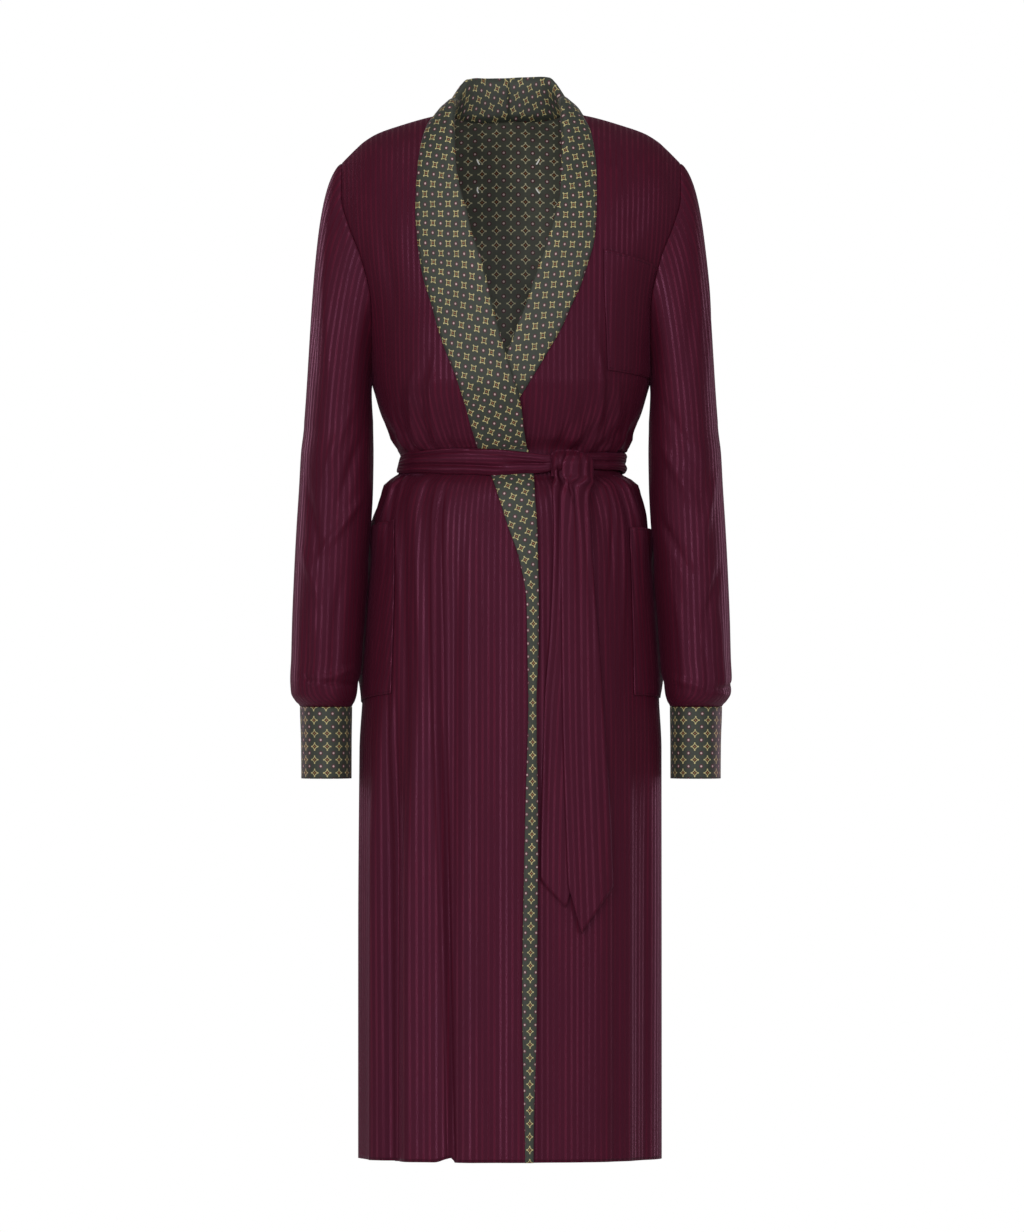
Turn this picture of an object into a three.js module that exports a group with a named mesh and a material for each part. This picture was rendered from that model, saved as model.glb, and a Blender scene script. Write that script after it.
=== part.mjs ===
// A long wrap robe coat with a shawl collar and a tie belt, worn by no one: a hollow form of thin walls.
// Millimetres, +Z up, the front faces -Y and the wearer's right is towards -X.
// The origin is where the wearer's shoulders carry it, midway between them.
import * as THREE from "three";

// Cloth
const WALL = 1.2;
const GAP = 0.3; // between pieces that are sewn together or lie on each other
const WRAP_CLEAR = 1.2; // between the under front's collar and the front that laps over it
const LYING = GAP; // a piece that lies on a panel starts this far above it
const LINED = WALL + GAP; // the lining's outer face lies this far inside the back

// Levels
const HEM_Z = -1138.5;
const ARMPIT_Z = -285;
const BELT_Z = -375;
const SLEEVE_HEM_Z = -643;
const CUFF_HEM_Z = -721.5;

// Section shape: 2 is an ellipse, more is squarer
const BODY_ROUND = 2.3;
const FRONT_YOKE_ROUND = 2.2;
const BACK_YOKE_ROUND = 2.8;
const QUARTER = Math.PI / 2;
const YOKE_TURN = -ARMPIT_Z / QUARTER; // level, in millimetres, for a radian over the shoulder
const DEGREE = Math.PI / 180;

const FRONT = 1;
const BACK = -1;
const WEARERS_RIGHT = -1;
const WEARERS_LEFT = 1;

const CLOTH_COLOUR = 0x471c2c;
const PRINT_COLOUR = 0x4a4a42;

function table(columns, ...rows) {
  const names = columns.split(" ");
  return rows.map((row) => Object.fromEntries(names.map((name, i) => [name, row[i]])));
}

// Body sections: half the width, the depth forward and the depth backward. Past the armpit the level
// runs on to 0 at the shoulder ridge, and the depths are those before the yoke closes over.
const BODY = table(
  "level half front back",
  [-1138.5, 165.5, 129, 127],
  [-900, 165.5, 126, 124],
  [-690, 165.5, 122, 119],
  [-640, 163, 121, 118],
  [-560, 158, 119, 116],
  [-482, 152, 116, 112],
  [-440, 149, 113, 107],
  [-414, 142.5, 108, 101],
  [-402, 136, 102, 96],
  [-389, 118, 91, 86],
  [-361, 118, 91, 86],
  [-348, 129, 101, 93],
  [-323, 142, 112, 99],
  [-300, 149, 119, 103],
  [-285, 153, 122, 106],
  [-243, 157, 122, 109],
  [-197, 163, 121, 112],
  [-142, 178, 119, 112],
  [-88, 191, 117, 109],
  [-42, 196, 116, 106],
  [0, 196, 115, 104],
);

// The height of the shoulder ridge by the distance from the middle
const RIDGE = table(
  "across height",
  [0, 27],
  [40, 19],
  [62, 11],
  [93, 4],
  [122, -4.5],
  [146, -13],
  [161, -22],
  [171, -31],
  [180, -40],
  [186, -46],
  [200, -58],
);

// The armhole's distance from the middle, by the share of the way from the armpit to the ridge
const ARMHOLE = table(
  "rise across",
  [0, 153],
  [0.15, 152.5],
  [0.31, 153],
  [0.5, 163],
  [0.69, 178],
  [0.85, 186],
  [1, 186],
);

// The collar of the front that laps over: its folded inner edge, its outer edge, and the line of the pocket
const OVER_LINES = table(
  "height roll outer pocket",
  [-1138.5, 24, 15, -128],
  [-966, 27.5, 12, -128],
  [-768, 28.5, 15, -129],
  [-636, 27.5, 18.5, -131],
  [-581, 29.5, 17.6, -130],
  [-526, 29.7, 16.5, -129],
  [-482, 29, 8.8, -127],
  [-444, 28, -4, -125],
  [-416, 26, -13, -119],
  [-389, 24, -23, -98],
  [-361, 18, -34, -98],
  [-338, 14, -42, -108],
  [-311, 10.5, -49.5, -115],
  [-285, 3, -58, -116],
  [-257, -5.5, -69, -116],
  [-231, -13, -78, -117],
  [-204, -20, -86, -119],
  [-178, -26, -94.6, -121],
  [-150, -33.5, -100, -123],
  [-127, -42, -102.5, -125],
  [-100, -48, -104, -128],
  [-77, -55, -103.5, -131],
  [-49, -59.5, -101.5, -134],
  [-26, -61, -98, -136],
  [-4, -62, -91, -138],
  [11, -62, -80, -138],
);

// The same lines of the under front, which runs on beneath the other as far as its own folded edge
const UNDER_LINES = table(
  "height roll outer pocket",
  [-1138.5, -78, -66, 134],
  [-640, -78, -65, 136],
  [-526, -78, -64, 134],
  [-482, -78, -55, 132],
  [-444, -77, -46, 130],
  [-416, -75, -38, 122],
  [-389, -72, -29, 98],
  [-361, -66, -20, 98],
  [-325, -48, -4, 106],
  [-306, -36, 8.8, 107],
  [-278, -18, 26.4, 107],
  [-256, -4.4, 39.6, 106],
  [-229, 5.5, 55, 105],
  [-206, 15, 65, 104],
  [-185, 22, 74.8, 103],
  [-155, 32, 84.7, 102],
  [-130, 40.7, 91.3, 104],
  [-103, 48.4, 93, 110],
  [-84, 52.8, 93.5, 116],
  [-59, 54.5, 93.5, 122],
  [-33, 55, 91, 127],
  [-11, 55, 86.5, 130],
  [11, 55, 77, 132],
);

// The side seams: the angle round from the middle of the front, in degrees
const SIDE_SEAM = table(
  "level angle",
  [-1138.5, 100],
  [-640, 99],
  [-440, 97],
  [-375, 93],
  [-285, 90],
);

// Folds of the skirt: the angle round from the middle of the front, how far each stands out or in,
// its width in degrees, and the levels where it starts below the belt and where it is full.
const FOLDS = table(
  "angle height width start full",
  [-84, 3, 7, -480, -900],
  [-66, 4, 5, -560, -800],
  [-56, -8, 4.5, -600, -820],
  [-46, 5, 5, -560, -800],
  [-30, -4, 5, -402, -600],
  [-21, 2, 5, -402, -600],
  [19, -2, 6, -640, -760],
  [43, 2.5, 7, -440, -700],
  [60, -3, 6, -440, -800],
  [76, 3, 7, -402, -900],
  [112, -4, 6, -440, -820],
  [126, 5, 7, -440, -820],
  [142, -5, 7, -402, -700],
  [158, 5, 8, -402, -760],
  [176, -4, 7, -420, -800],
  [193, 5, 8, -402, -760],
  [209, -5, 7, -402, -700],
  [226, 5, 8, -440, -820],
  [245, -4, 7, -440, -820],
);

// Gathers above and below the belt: how many go round, how far they stand out, and where they fade.
// The wrap at the front stays plain, out to so many degrees from its middle.
const GATHERS = {
  count: 26,
  height: 2.2,
  uneven: 3,
  rise: 14, // how far from the belt they reach their full height
  blouse: { from: -361, to: -323 },
  skirt: { from: -389, to: -482 },
  wrap: { middle: -10, plain: 26, free: 42 },
};

// Levels of the rows of every body panel up to the armpit, then the rises of the yoke's rows
const PANEL_LEVELS = [
  HEM_Z, -1050, -965, -880, -800, -730, -680, -634, -590, -545, -500, -470, -444, -420, -402, -389, -361,
  -348, -330, -308, ARMPIT_Z,
];
const YOKE_ROWS = 8;

// Columns between the named lines of a front
const COLLAR_COLUMNS = 4;
const MIDDLE_COLUMNS = 9;
const POCKET_COLUMNS = 6;
const BACK_COLUMNS = 28;

// A smooth curve through one column of a table that rises by its key column, level past both ends
function track(rows, key, value) {
  const at = rows.map((row) => row[key]);
  const of = rows.map((row) => row[value]);
  const last = at.length - 1;
  const secant = of.slice(1).map((next, i) => (next - of[i]) / (at[i + 1] - at[i]));
  const slope = of.map((_, i) => {
    const before = secant[i - 1] ?? 0;
    const after = secant[i] ?? 0;
    return before * after > 0 ? (2 * before * after) / (before + after) : 0;
  });
  return (place) => {
    if (place <= at[0]) return of[0];
    if (place >= at[last]) return of[last];
    const i = at.findIndex((next) => next > place) - 1;
    const step = at[i + 1] - at[i];
    const t = (place - at[i]) / step;
    const u = 1 - t;
    const bend = step * (slope[i] * t * u * u - slope[i + 1] * t * t * u);
    return of[i] * u * u * (1 + 2 * t) + of[i + 1] * t * t * (3 - 2 * t) + bend;
  };
}

function smoothstep(from, to, place) {
  const share = Math.min(1, Math.max(0, (place - from) / (to - from)));
  return share * share * (3 - 2 * share);
}

function signedPower(base, exponent) {
  return Math.sign(base) * Math.abs(base) ** exponent;
}

const halfAt = track(BODY, "level", "half");
const frontAt = track(BODY, "level", "front");
const backAt = track(BODY, "level", "back");
const ridgeAt = track(RIDGE, "across", "height");
const armholeAt = track(ARMHOLE, "rise", "across");
const seamAngleAt = track(SIDE_SEAM, "level", "angle");

// Degrees between two directions, the short way round
function degreesApart(one, other) {
  return Math.abs(((((one - other + 180) % 360) + 360) % 360) - 180);
}

// How full the gathers are at a level between the belt and where they fade
function gatherShare({ from, to }, level) {
  const full = from + Math.sign(to - from) * GATHERS.rise;
  return smoothstep(from, full, level) * (1 - smoothstep(full, to, level));
}

// How far the cloth stands out from the plain section, in folds and gathers
function foldHeight(theta, level) {
  if (level > ARMPIT_Z) return 0;
  const degrees = theta / DEGREE;
  let height = 0;
  for (const fold of FOLDS) {
    const away = degreesApart(degrees, fold.angle) / fold.width;
    height += fold.height * Math.exp(-(away ** 2)) * smoothstep(fold.start, fold.full, level);
  }
  const { middle, plain, free } = GATHERS.wrap;
  const clear = smoothstep(plain, free, degreesApart(degrees, middle));
  const share = Math.max(gatherShare(GATHERS.skirt, level), gatherShare(GATHERS.blouse, level));
  const wave = Math.cos(GATHERS.count * theta + Math.sin(GATHERS.uneven * theta));
  return height + GATHERS.height * wave * clear * share;
}

// The level, on the front or the back, that is a share of the way up the yoke
function yokeLevel(rise, side) {
  const round = side === FRONT ? FRONT_YOKE_ROUND : BACK_YOKE_ROUND;
  return ARMPIT_Z + YOKE_TURN * Math.asin(Math.min(1, rise ** (round / 2)));
}

// A point of the body's outer face, at an angle round from the middle of the front and a level.
// The yoke's sections close over towards the ridge of the shoulders.
function bodyPoint(theta, level) {
  const side = Math.cos(theta) >= 0 ? FRONT : BACK;
  const round = side === FRONT ? FRONT_YOKE_ROUND : BACK_YOKE_ROUND;
  const turn = Math.max(0, (level - ARMPIT_Z) / YOKE_TURN);
  const rise = Math.sin(turn) ** (2 / round);
  const closing = signedPower(Math.cos(turn), 2 / round);
  const nominal = level > ARMPIT_Z ? ARMPIT_Z * (1 - rise) : level;
  const depth = side === FRONT ? frontAt(nominal) : backAt(nominal);
  const aside = Math.abs(Math.sin(theta) / halfAt(nominal)) ** BODY_ROUND;
  const ahead = Math.abs(Math.cos(theta) / depth) ** BODY_ROUND;
  const radius = (aside + ahead) ** (-1 / BODY_ROUND) + foldHeight(theta, level);
  const x = radius * Math.sin(theta);
  const z = level > ARMPIT_Z ? ARMPIT_Z + (ridgeAt(Math.abs(x)) - ARMPIT_Z) * rise : level;
  return new THREE.Vector3(x, -radius * Math.cos(theta) * closing, z);
}

function bodyNormal(theta, level) {
  const turn = 0.01;
  const climb = 1;
  const across = bodyPoint(theta + turn, level).sub(bodyPoint(theta - turn, level));
  const up = bodyPoint(theta, level + climb).sub(bodyPoint(theta, level - climb));
  return across.cross(up).normalize();
}

// The angle at which a section reaches a distance from the middle
function angleOf(x, nominal, side) {
  const depth = side === FRONT ? frontAt(nominal) : backAt(nominal);
  const share = Math.min(1, Math.abs(x) / halfAt(nominal));
  const y = depth * (1 - share ** BODY_ROUND) ** (1 / BODY_ROUND);
  return Math.atan2(x, side * y);
}

// The rows of a panel on one side: each has its level, its rise in the yoke and its nominal level
function panelRows(side) {
  const below = PANEL_LEVELS.map((level) => ({ level, rise: 0, nominal: level }));
  const above = Array.from({ length: YOKE_ROWS }, (_, i) => {
    const rise = (1 - Math.cos((Math.PI * (i + 1)) / YOKE_ROWS)) / 2;
    return { level: yokeLevel(rise, side), rise, nominal: ARMPIT_Z * (1 - rise) };
  });
  return [...below, ...above];
}

// Where a line given by height crosses a row, as an angle
function lineAngle(line, row, side) {
  let x = line(row.level);
  if (row.rise > 0) {
    for (let i = 0; i < 20; i++) x = line(ARMPIT_Z + (ridgeAt(Math.abs(x)) - ARMPIT_Z) * row.rise);
  }
  return angleOf(x, row.nominal, side);
}

function sideAngle(row, wearersSide, side) {
  if (row.rise > 0) return angleOf(wearersSide * armholeAt(row.rise), row.nominal, side);
  const angle = wearersSide * seamAngleAt(row.level) * DEGREE;
  return side === FRONT || angle > 0 ? angle : angle + 2 * Math.PI;
}

// A closed wall between two grids of points with the same rows and columns. With around set, the last
// column joins the first.
function wall(name, outer, inner, colour, around = false) {
  const rows = outer.length;
  const columns = outer[0].length;
  const positions = [outer, inner].flat(2).flatMap((p) => [p.x, p.y, p.z]);
  const at = (layer, i, j) => layer * rows * columns + i * columns + (j % columns);
  const index = [];
  const quad = (a, b, c, d) => index.push(a, b, c, a, c, d);
  const spans = around ? columns : columns - 1;
  for (let i = 0; i < rows - 1; i++) {
    for (let j = 0; j < spans; j++) {
      quad(at(0, i, j), at(0, i, j + 1), at(0, i + 1, j + 1), at(0, i + 1, j));
      index.push(at(1, i, j), at(1, i + 1, j + 1), at(1, i, j + 1));
      index.push(at(1, i, j), at(1, i + 1, j), at(1, i + 1, j + 1));
    }
  }
  for (let j = 0; j < spans; j++) {
    quad(at(0, 0, j + 1), at(0, 0, j), at(1, 0, j), at(1, 0, j + 1));
    quad(at(0, rows - 1, j), at(0, rows - 1, j + 1), at(1, rows - 1, j + 1), at(1, rows - 1, j));
  }
  const last = columns - 1;
  for (let i = 0; !around && i < rows - 1; i++) {
    quad(at(0, i, 0), at(0, i + 1, 0), at(1, i + 1, 0), at(1, i, 0));
    quad(at(0, i + 1, last), at(0, i, last), at(1, i, last), at(1, i + 1, last));
  }
  const geometry = new THREE.BufferGeometry();
  geometry.setAttribute("position", new THREE.Float32BufferAttribute(positions, 3));
  geometry.setIndex(facesOut(positions, index));
  geometry.computeVertexNormals();
  const material = new THREE.MeshStandardMaterial({ color: colour, roughness: 0.55, metalness: 0 });
  const mesh = new THREE.Mesh(geometry, material);
  mesh.name = name;
  return mesh;
}

// The faces, turned round if they point inwards
function facesOut(positions, index) {
  const corner = (i) => new THREE.Vector3().fromArray(positions, 3 * index[i]);
  let volume = 0;
  for (let i = 0; i < index.length; i += 3) volume += corner(i).dot(corner(i + 1).cross(corner(i + 2)));
  if (volume > 0) return index;
  return index.map((_, i) => index[3 * Math.floor(i / 3) + 2 - (i % 3)]);
}

// The unit normals of a grid of points, from its neighbours along and across
function gridNormals(grid, around = false) {
  const columns = grid[0].length;
  return grid.map((row, i) =>
    row.map((_, j) => {
      const before = around ? (j + columns - 1) % columns : Math.max(0, j - 1);
      const after = around ? (j + 1) % columns : Math.min(columns - 1, j + 1);
      const across = row[after].clone().sub(row[before]);
      const up = grid[Math.min(grid.length - 1, i + 1)][j].clone().sub(grid[Math.max(0, i - 1)][j]);
      return across.cross(up).normalize();
    }),
  );
}

function moved(grid, normals, distance) {
  return grid.map((row, i) => row.map((p, j) => p.clone().addScaledVector(normals[i][j], distance)));
}

// A panel of the body as grids of outer points and normals, from the angles of its columns in each row.
// The front half of the coat stands half a gap forward and the back half a gap back, which parts them
// at the side and shoulder seams.
function panelGrid(rows, anglesOf, side, liftAt = () => 0) {
  const part = (-side * GAP) / 2;
  const points = [];
  const normals = [];
  for (const row of rows) {
    const pairs = anglesOf(row).map((theta) => {
      const level = row.topOf ? row.topOf(theta) : row.level;
      const normal = bodyNormal(theta, level);
      const point = bodyPoint(theta, level);
      point.addScaledVector(normal, liftAt(point)).add(new THREE.Vector3(0, part, 0));
      return { point, normal };
    });
    points.push(pairs.map((pair) => pair.point));
    normals.push(pairs.map((pair) => pair.normal));
  }
  return { points, normals };
}

function spread(from, to, count) {
  return Array.from({ length: count }, (_, i) => from + ((to - from) * (i + 1)) / count);
}

// Fronts: the columns run from the folded edge to the collar's outer edge, the pocket's line and the side
function frontAngles(lines, wearersSide) {
  const roll = track(lines, "height", "roll");
  const outer = track(lines, "height", "outer");
  const pocket = track(lines, "height", "pocket");
  return (row) => {
    const fold = lineAngle(roll, row, FRONT);
    const collar = lineAngle(outer, row, FRONT);
    const line = lineAngle(pocket, row, FRONT);
    const side = sideAngle(row, wearersSide, FRONT);
    return [
      fold,
      ...spread(fold, collar, COLLAR_COLUMNS),
      ...spread(collar, line, MIDDLE_COLUMNS),
      ...spread(line, side, POCKET_COLUMNS),
    ];
  };
}

// The front that laps over is lifted clear of the under front and its collar where they wrap
const WRAP_LIFT = LYING + WALL + WRAP_CLEAR + WALL;
const WRAP_FADE = { from: -95, to: -140, top: -185, full: -245 };
function wrapLift(point) {
  const across = 1 - smoothstep(WRAP_FADE.from, WRAP_FADE.to, point.x);
  return WRAP_LIFT * across * smoothstep(WRAP_FADE.top, WRAP_FADE.full, point.z);
}

const frontRows = panelRows(FRONT);
const overFront = panelGrid(frontRows, frontAngles(OVER_LINES, WEARERS_RIGHT), FRONT, wrapLift);
const underFront = panelGrid(frontRows, frontAngles(UNDER_LINES, WEARERS_LEFT), FRONT);

// Back: one piece from side seam to side seam, cut low enough at the neck for the collar to stand on
const NECK = { middle: -3, side: 62, drop: 0.072, round: 0.7, near: 4 };
const backRows = panelRows(BACK);

// The share of the yoke that the back climbs to at a distance from the middle
function neckRise(x) {
  const across = (x - NECK.middle) / NECK.side;
  return 1 - NECK.drop * Math.max(0, 1 - across ** 2) ** NECK.round;
}

function backAngles(row) {
  const right = sideAngle(row, WEARERS_LEFT, BACK);
  const left = sideAngle(row, WEARERS_RIGHT, BACK);
  return [right, ...spread(right, left < right ? left + 2 * Math.PI : left, BACK_COLUMNS)];
}

// Near the neck a row climbs only to its share of the way up to the neckline
for (const row of backRows) {
  if (row.rise === 0) continue;
  row.topOf = (theta) => {
    const { x } = bodyPoint(theta, row.level);
    const drop = (1 - neckRise(x)) * row.rise ** NECK.near;
    return yokeLevel(row.rise * (1 - drop), BACK);
  };
}
const back = panelGrid(backRows, backAngles, BACK);

function panelWall(name, panel) {
  return wall(name, panel.points, moved(panel.points, panel.normals, -WALL), CLOTH_COLOUR);
}

// Part of a panel's grid, moved out or in: what lies on the panel is made from its own points
function cutOut(panel, rows, columns, distance) {
  const cut = (list, [from, to]) => list.slice(from, to + 1);
  const pick = (grid) => cut(grid, rows).map((row) => cut(row, columns));
  const points = pick(panel.points);
  const normals = pick(panel.normals);
  return { points: moved(points, normals, distance), normals };
}

function patch(name, panel, rows, columns) {
  const pocket = cutOut(panel, rows, columns, LYING + WALL);
  return wall(name, pocket.points, moved(pocket.points, pocket.normals, -WALL), CLOTH_COLOUR);
}

const rowOf = (level) => PANEL_LEVELS.indexOf(level);
const armpitRow = rowOf(ARMPIT_Z);
const pocketColumn = COLLAR_COLUMNS + MIDDLE_COLUMNS;
const sideColumn = pocketColumn + POCKET_COLUMNS;
const HIP_POCKET = [rowOf(-634), rowOf(-444)];
const CHEST_POCKET = [armpitRow, armpitRow + 4];

// Collar stations round the back of the neck, from beside the shoulder seam to the middle of the back:
// the angle from the middle of the front, the height it stands, and how far down the back it falls
const COLLAR_NECK = table(
  "angle stand fall bulge",
  [102, 25, 16, 3],
  [116, 31, 19, 4.5],
  [131, 36, 21, 6],
  [147, 40, 22, 7],
  [163, 42, 22, 7],
  [179.6, 43, 22, 7],
);
// How far the standing part leans, in towards the neck at the back and outwards at the front, the
// bulge of the fall beside the shoulder seam, how far a bulge lifts, and how the outer edge widens
// and lies lower than the neckline as the collar goes round
const COLLAR = {
  leanIn: 4,
  leanOut: 2,
  frontBulge: 1.5,
  bulgeUp: 0.5,
  widen: 1.25,
  lower: 0.0032,
  lowerFrom: 0.25,
  neckMiddle: 20, // of the neck, behind the shoulders' line
};
// How much the collar stands up from the front's edge in the rows that near the shoulder seam
const COLLAR_RISING = table(
  "rise stand blend",
  [0.69, 3, 0],
  [0.85, 8, 0.35],
  [0.96, 15, 0.8],
  [1, 20, 1],
);
const risingStand = track(COLLAR_RISING, "rise", "stand");
const risingBlend = track(COLLAR_RISING, "rise", "blend");

// A section of the collar: seam, fold, and the fall that bulges on its way to the outer edge
function collarSection(seam, fold, edge, bulge) {
  const out = edge.clone().sub(fold).setZ(0).normalize().multiplyScalar(bulge);
  out.z = bulge * COLLAR.bulgeUp;
  const fall = [1 / 3, 2 / 3].map((t) => fold.clone().lerp(edge, t).add(out));
  return [seam, fold, ...fall, edge];
}

function collarGrid(front, wearersSide) {
  const up = new THREE.Vector3(0, 0, 1);
  const middle = new THREE.Vector3(NECK.middle, COLLAR.neckMiddle, 0);
  const lying = moved(
    front.points.map((row) => row.slice(0, COLLAR_COLUMNS + 1)),
    front.normals,
    LYING,
  );
  const grid = lying.map((row, i) => {
    const { rise } = frontRows[i];
    const blend = risingBlend(rise);
    if (blend === 0) return row;
    const seam = row[0];
    const inward = middle.clone().sub(seam).setZ(0).normalize();
    const fold = seam
      .clone()
      .addScaledVector(up, risingStand(rise))
      .addScaledVector(inward, -COLLAR.leanOut);
    const section = collarSection(seam, fold, row[COLLAR_COLUMNS], COLLAR.frontBulge);
    return row.map((p, j) => p.clone().lerp(section[j], blend));
  });
  for (const station of COLLAR_NECK) {
    const angle = wearersSide * station.angle * DEGREE;
    const x = NECK.middle + NECK.side * Math.sin(angle);
    const theta = backTheta(x);
    const level = yokeLevel(neckRise(x), BACK);
    const seam = bodyPoint(theta, level).add(new THREE.Vector3(0, GAP / 2, GAP));
    const inward = middle.clone().sub(seam).setZ(0).normalize();
    const fold = seam
      .clone()
      .addScaledVector(up, station.stand)
      .addScaledVector(inward, COLLAR.leanIn);
    const outX = NECK.middle + (NECK.side + station.fall * COLLAR.widen) * Math.sin(angle);
    const edgeTheta = backTheta(outX);
    const drop = station.fall * COLLAR.lower * (COLLAR.lowerFrom - Math.cos(angle));
    const edgeLevel = yokeLevel(neckRise(outX) - drop, BACK);
    const edge = bodyPoint(edgeTheta, edgeLevel)
      .addScaledVector(bodyNormal(edgeTheta, edgeLevel), LYING)
      .add(new THREE.Vector3(0, GAP / 2, 0));
    grid.push(collarSection(seam, fold, edge, station.bulge));
  }
  return grid;
}

// The angle at which the yoke's back reaches a distance from the middle
function backTheta(x) {
  const angle = angleOf(x, 0, BACK);
  return angle < 0 ? angle + 2 * Math.PI : angle;
}

function collar(name, front, wearersSide) {
  const grid = collarGrid(front, wearersSide);
  return wall(name, moved(grid, gridNormals(grid), wearersSide * WALL), grid, PRINT_COLOUR);
}

// Sleeves: sections from below the armpit to the wrist. Inner and outer are distances from the middle,
// and the section's centre moves forward as the arm hangs.
const SLEEVE = table(
  "level inner outer centre depth",
  [-330, 151.5, 227.5, -2, 60],
  [-365, 151, 231, -5, 60],
  [-402, 151.5, 233, -8, 58],
  [-450, 154, 236, -12, 57],
  [-500, 158.5, 238.5, -16, 56],
  [-550, 163, 240.5, -19, 55],
  [-590, 166, 241.5, -21, 55],
  [-612, 167.5, 242.5, -22, 56],
  [-628, 169, 241.5, -23, 54],
  [-637, 171.5, 236.5, -24, 49],
  [SLEEVE_HEM_Z + GAP, 174.5, 231.5, -25, 42],
);
const CUFF = table(
  "level inner outer centre depth",
  [SLEEVE_HEM_Z, 174.3, 231.7, -25, 42.2],
  [-683, 175, 230.7, -26, 41.5],
  [CUFF_HEM_Z, 175.3, 230.6, -27, 41.5],
);
const TUBE_ROUND = 2.15;
const TUBE_COLUMNS = 2 * YOKE_ROWS;
const HEAD_ROWS = 7;
const HEAD_CROWDING = 1.15; // more than 1 sets its rows closer together at the armhole
// How a sleeve leaves its armhole, at the armpit and at the shoulder, and how it arrives at its
// first section
const HEAD = {
  leaveOut: { armpit: 2, shoulder: 95 },
  leaveDown: { armpit: 45, shoulder: 52 },
  leavePuff: 12,
  arriveIn: { armpit: 3, shoulder: -27 },
  arriveDown: { armpit: 45, shoulder: 330 },
};

// A point of a tube's section: phi starts at the body's side and goes round by the front
function tubePoint(section, phi, wearersSide) {
  const half = (section.outer - section.inner) / 2;
  const across = -signedPower(Math.cos(phi), 2 / TUBE_ROUND) * half + section.inner + half;
  const along = -signedPower(Math.sin(phi), 2 / TUBE_ROUND) * section.depth + section.centre;
  return new THREE.Vector3(wearersSide * across, along, section.level);
}

// The armhole's edge, parted from the body by the gap
function armholePoint(phi, wearersSide) {
  const side = Math.sin(phi) >= 0 ? FRONT : BACK;
  const rise = (1 - Math.cos(phi)) / 2;
  const theta = angleOf(wearersSide * armholeAt(rise), ARMPIT_Z * (1 - rise), side);
  const point = bodyPoint(theta, rise > 0 ? yokeLevel(rise, side) : ARMPIT_Z);
  return point.add(new THREE.Vector3(wearersSide * GAP, 0, 0));
}

const tubePhis = Array.from({ length: TUBE_COLUMNS }, (_, k) => (2 * Math.PI * k) / TUBE_COLUMNS);

function sleeve(name, wearersSide) {
  const mix = (ends, share) => THREE.MathUtils.lerp(ends.armpit, ends.shoulder, share);
  const head = Array.from({ length: HEAD_ROWS }, (_, i) => {
    const t = (i / HEAD_ROWS) ** HEAD_CROWDING;
    const u = 1 - t;
    return tubePhis.map((phi) => {
      const share = (1 - Math.cos(phi)) / 2;
      const start = armholePoint(phi, wearersSide);
      const end = tubePoint(SLEEVE[0], phi, wearersSide);
      const leave = new THREE.Vector3(
        wearersSide * mix(HEAD.leaveOut, share),
        -HEAD.leavePuff * Math.sin(phi),
        -mix(HEAD.leaveDown, share),
      );
      const arrive = new THREE.Vector3(
        wearersSide * -mix(HEAD.arriveIn, share),
        0,
        -mix(HEAD.arriveDown, share),
      );
      return start
        .multiplyScalar(u * u * (1 + 2 * t))
        .addScaledVector(leave, t * u * u)
        .addScaledVector(end, t * t * (3 - 2 * t))
        .addScaledVector(arrive, -t * t * u);
    });
  });
  return tube(name, [...head, ...tubeRings(SLEEVE, wearersSide)], wearersSide, CLOTH_COLOUR);
}

function cuff(name, wearersSide) {
  return tube(name, tubeRings(CUFF, wearersSide), wearersSide, PRINT_COLOUR);
}

function tubeRings(sections, wearersSide) {
  return sections.map((section) => tubePhis.map((phi) => tubePoint(section, phi, wearersSide)));
}

function tube(name, rings, wearersSide, colour) {
  const inward = gridNormals(rings, true).map((row) => row.map((n) => n.multiplyScalar(wearersSide)));
  return wall(name, rings, moved(rings, inward, WALL), colour, true);
}

// Belt: a crushed band round the waist, over every layer
const BELT = { clear: 0.5, thick: 2, crush: 1.6, columns: 44 };
const BELT_LIFT = WRAP_LIFT + LYING + WALL + BELT.clear;
// Its edges round the waist, in degrees from the middle of the front
const BELT_EDGES = table(
  "angle top bottom",
  [-180, -361.5, -388.5],
  [-95, -369, -387.5],
  [-60, -366, -387],
  [-35, -361.5, -388.5],
  [0, -361.5, -388.5],
  [30, -362, -388.5],
  [95, -363, -387],
  [180, -361.5, -388.5],
);
const BELT_FOLDS = [0, 1, 0.25, 0.9, 0.1, 0.8, 0];
const beltTop = track(BELT_EDGES, "angle", "top");
const beltBottom = track(BELT_EDGES, "angle", "bottom");

// A point off the waist, at its own height
function beltPoint(theta, height, lift) {
  const point = bodyPoint(theta, BELT_Z).addScaledVector(bodyNormal(theta, BELT_Z), lift);
  return point.setZ(height);
}

function beltWrap(name) {
  const last = BELT_FOLDS.length - 1;
  const thetas = Array.from({ length: BELT.columns }, (_, j) => ((2 * j) / BELT.columns - 1) * Math.PI);
  const layer = (liftOf) =>
    BELT_FOLDS.map((fold, i) =>
      thetas.map((theta) => {
        const degrees = theta / DEGREE;
        const height = THREE.MathUtils.lerp(beltBottom(degrees), beltTop(degrees), i / last);
        return beltPoint(theta, height, liftOf(fold));
      }),
    );
  const outer = layer((fold) => BELT_LIFT + BELT.thick + BELT.crush * fold);
  return wall(name, outer, layer(() => BELT_LIFT), CLOTH_COLOUR, true);
}

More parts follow.
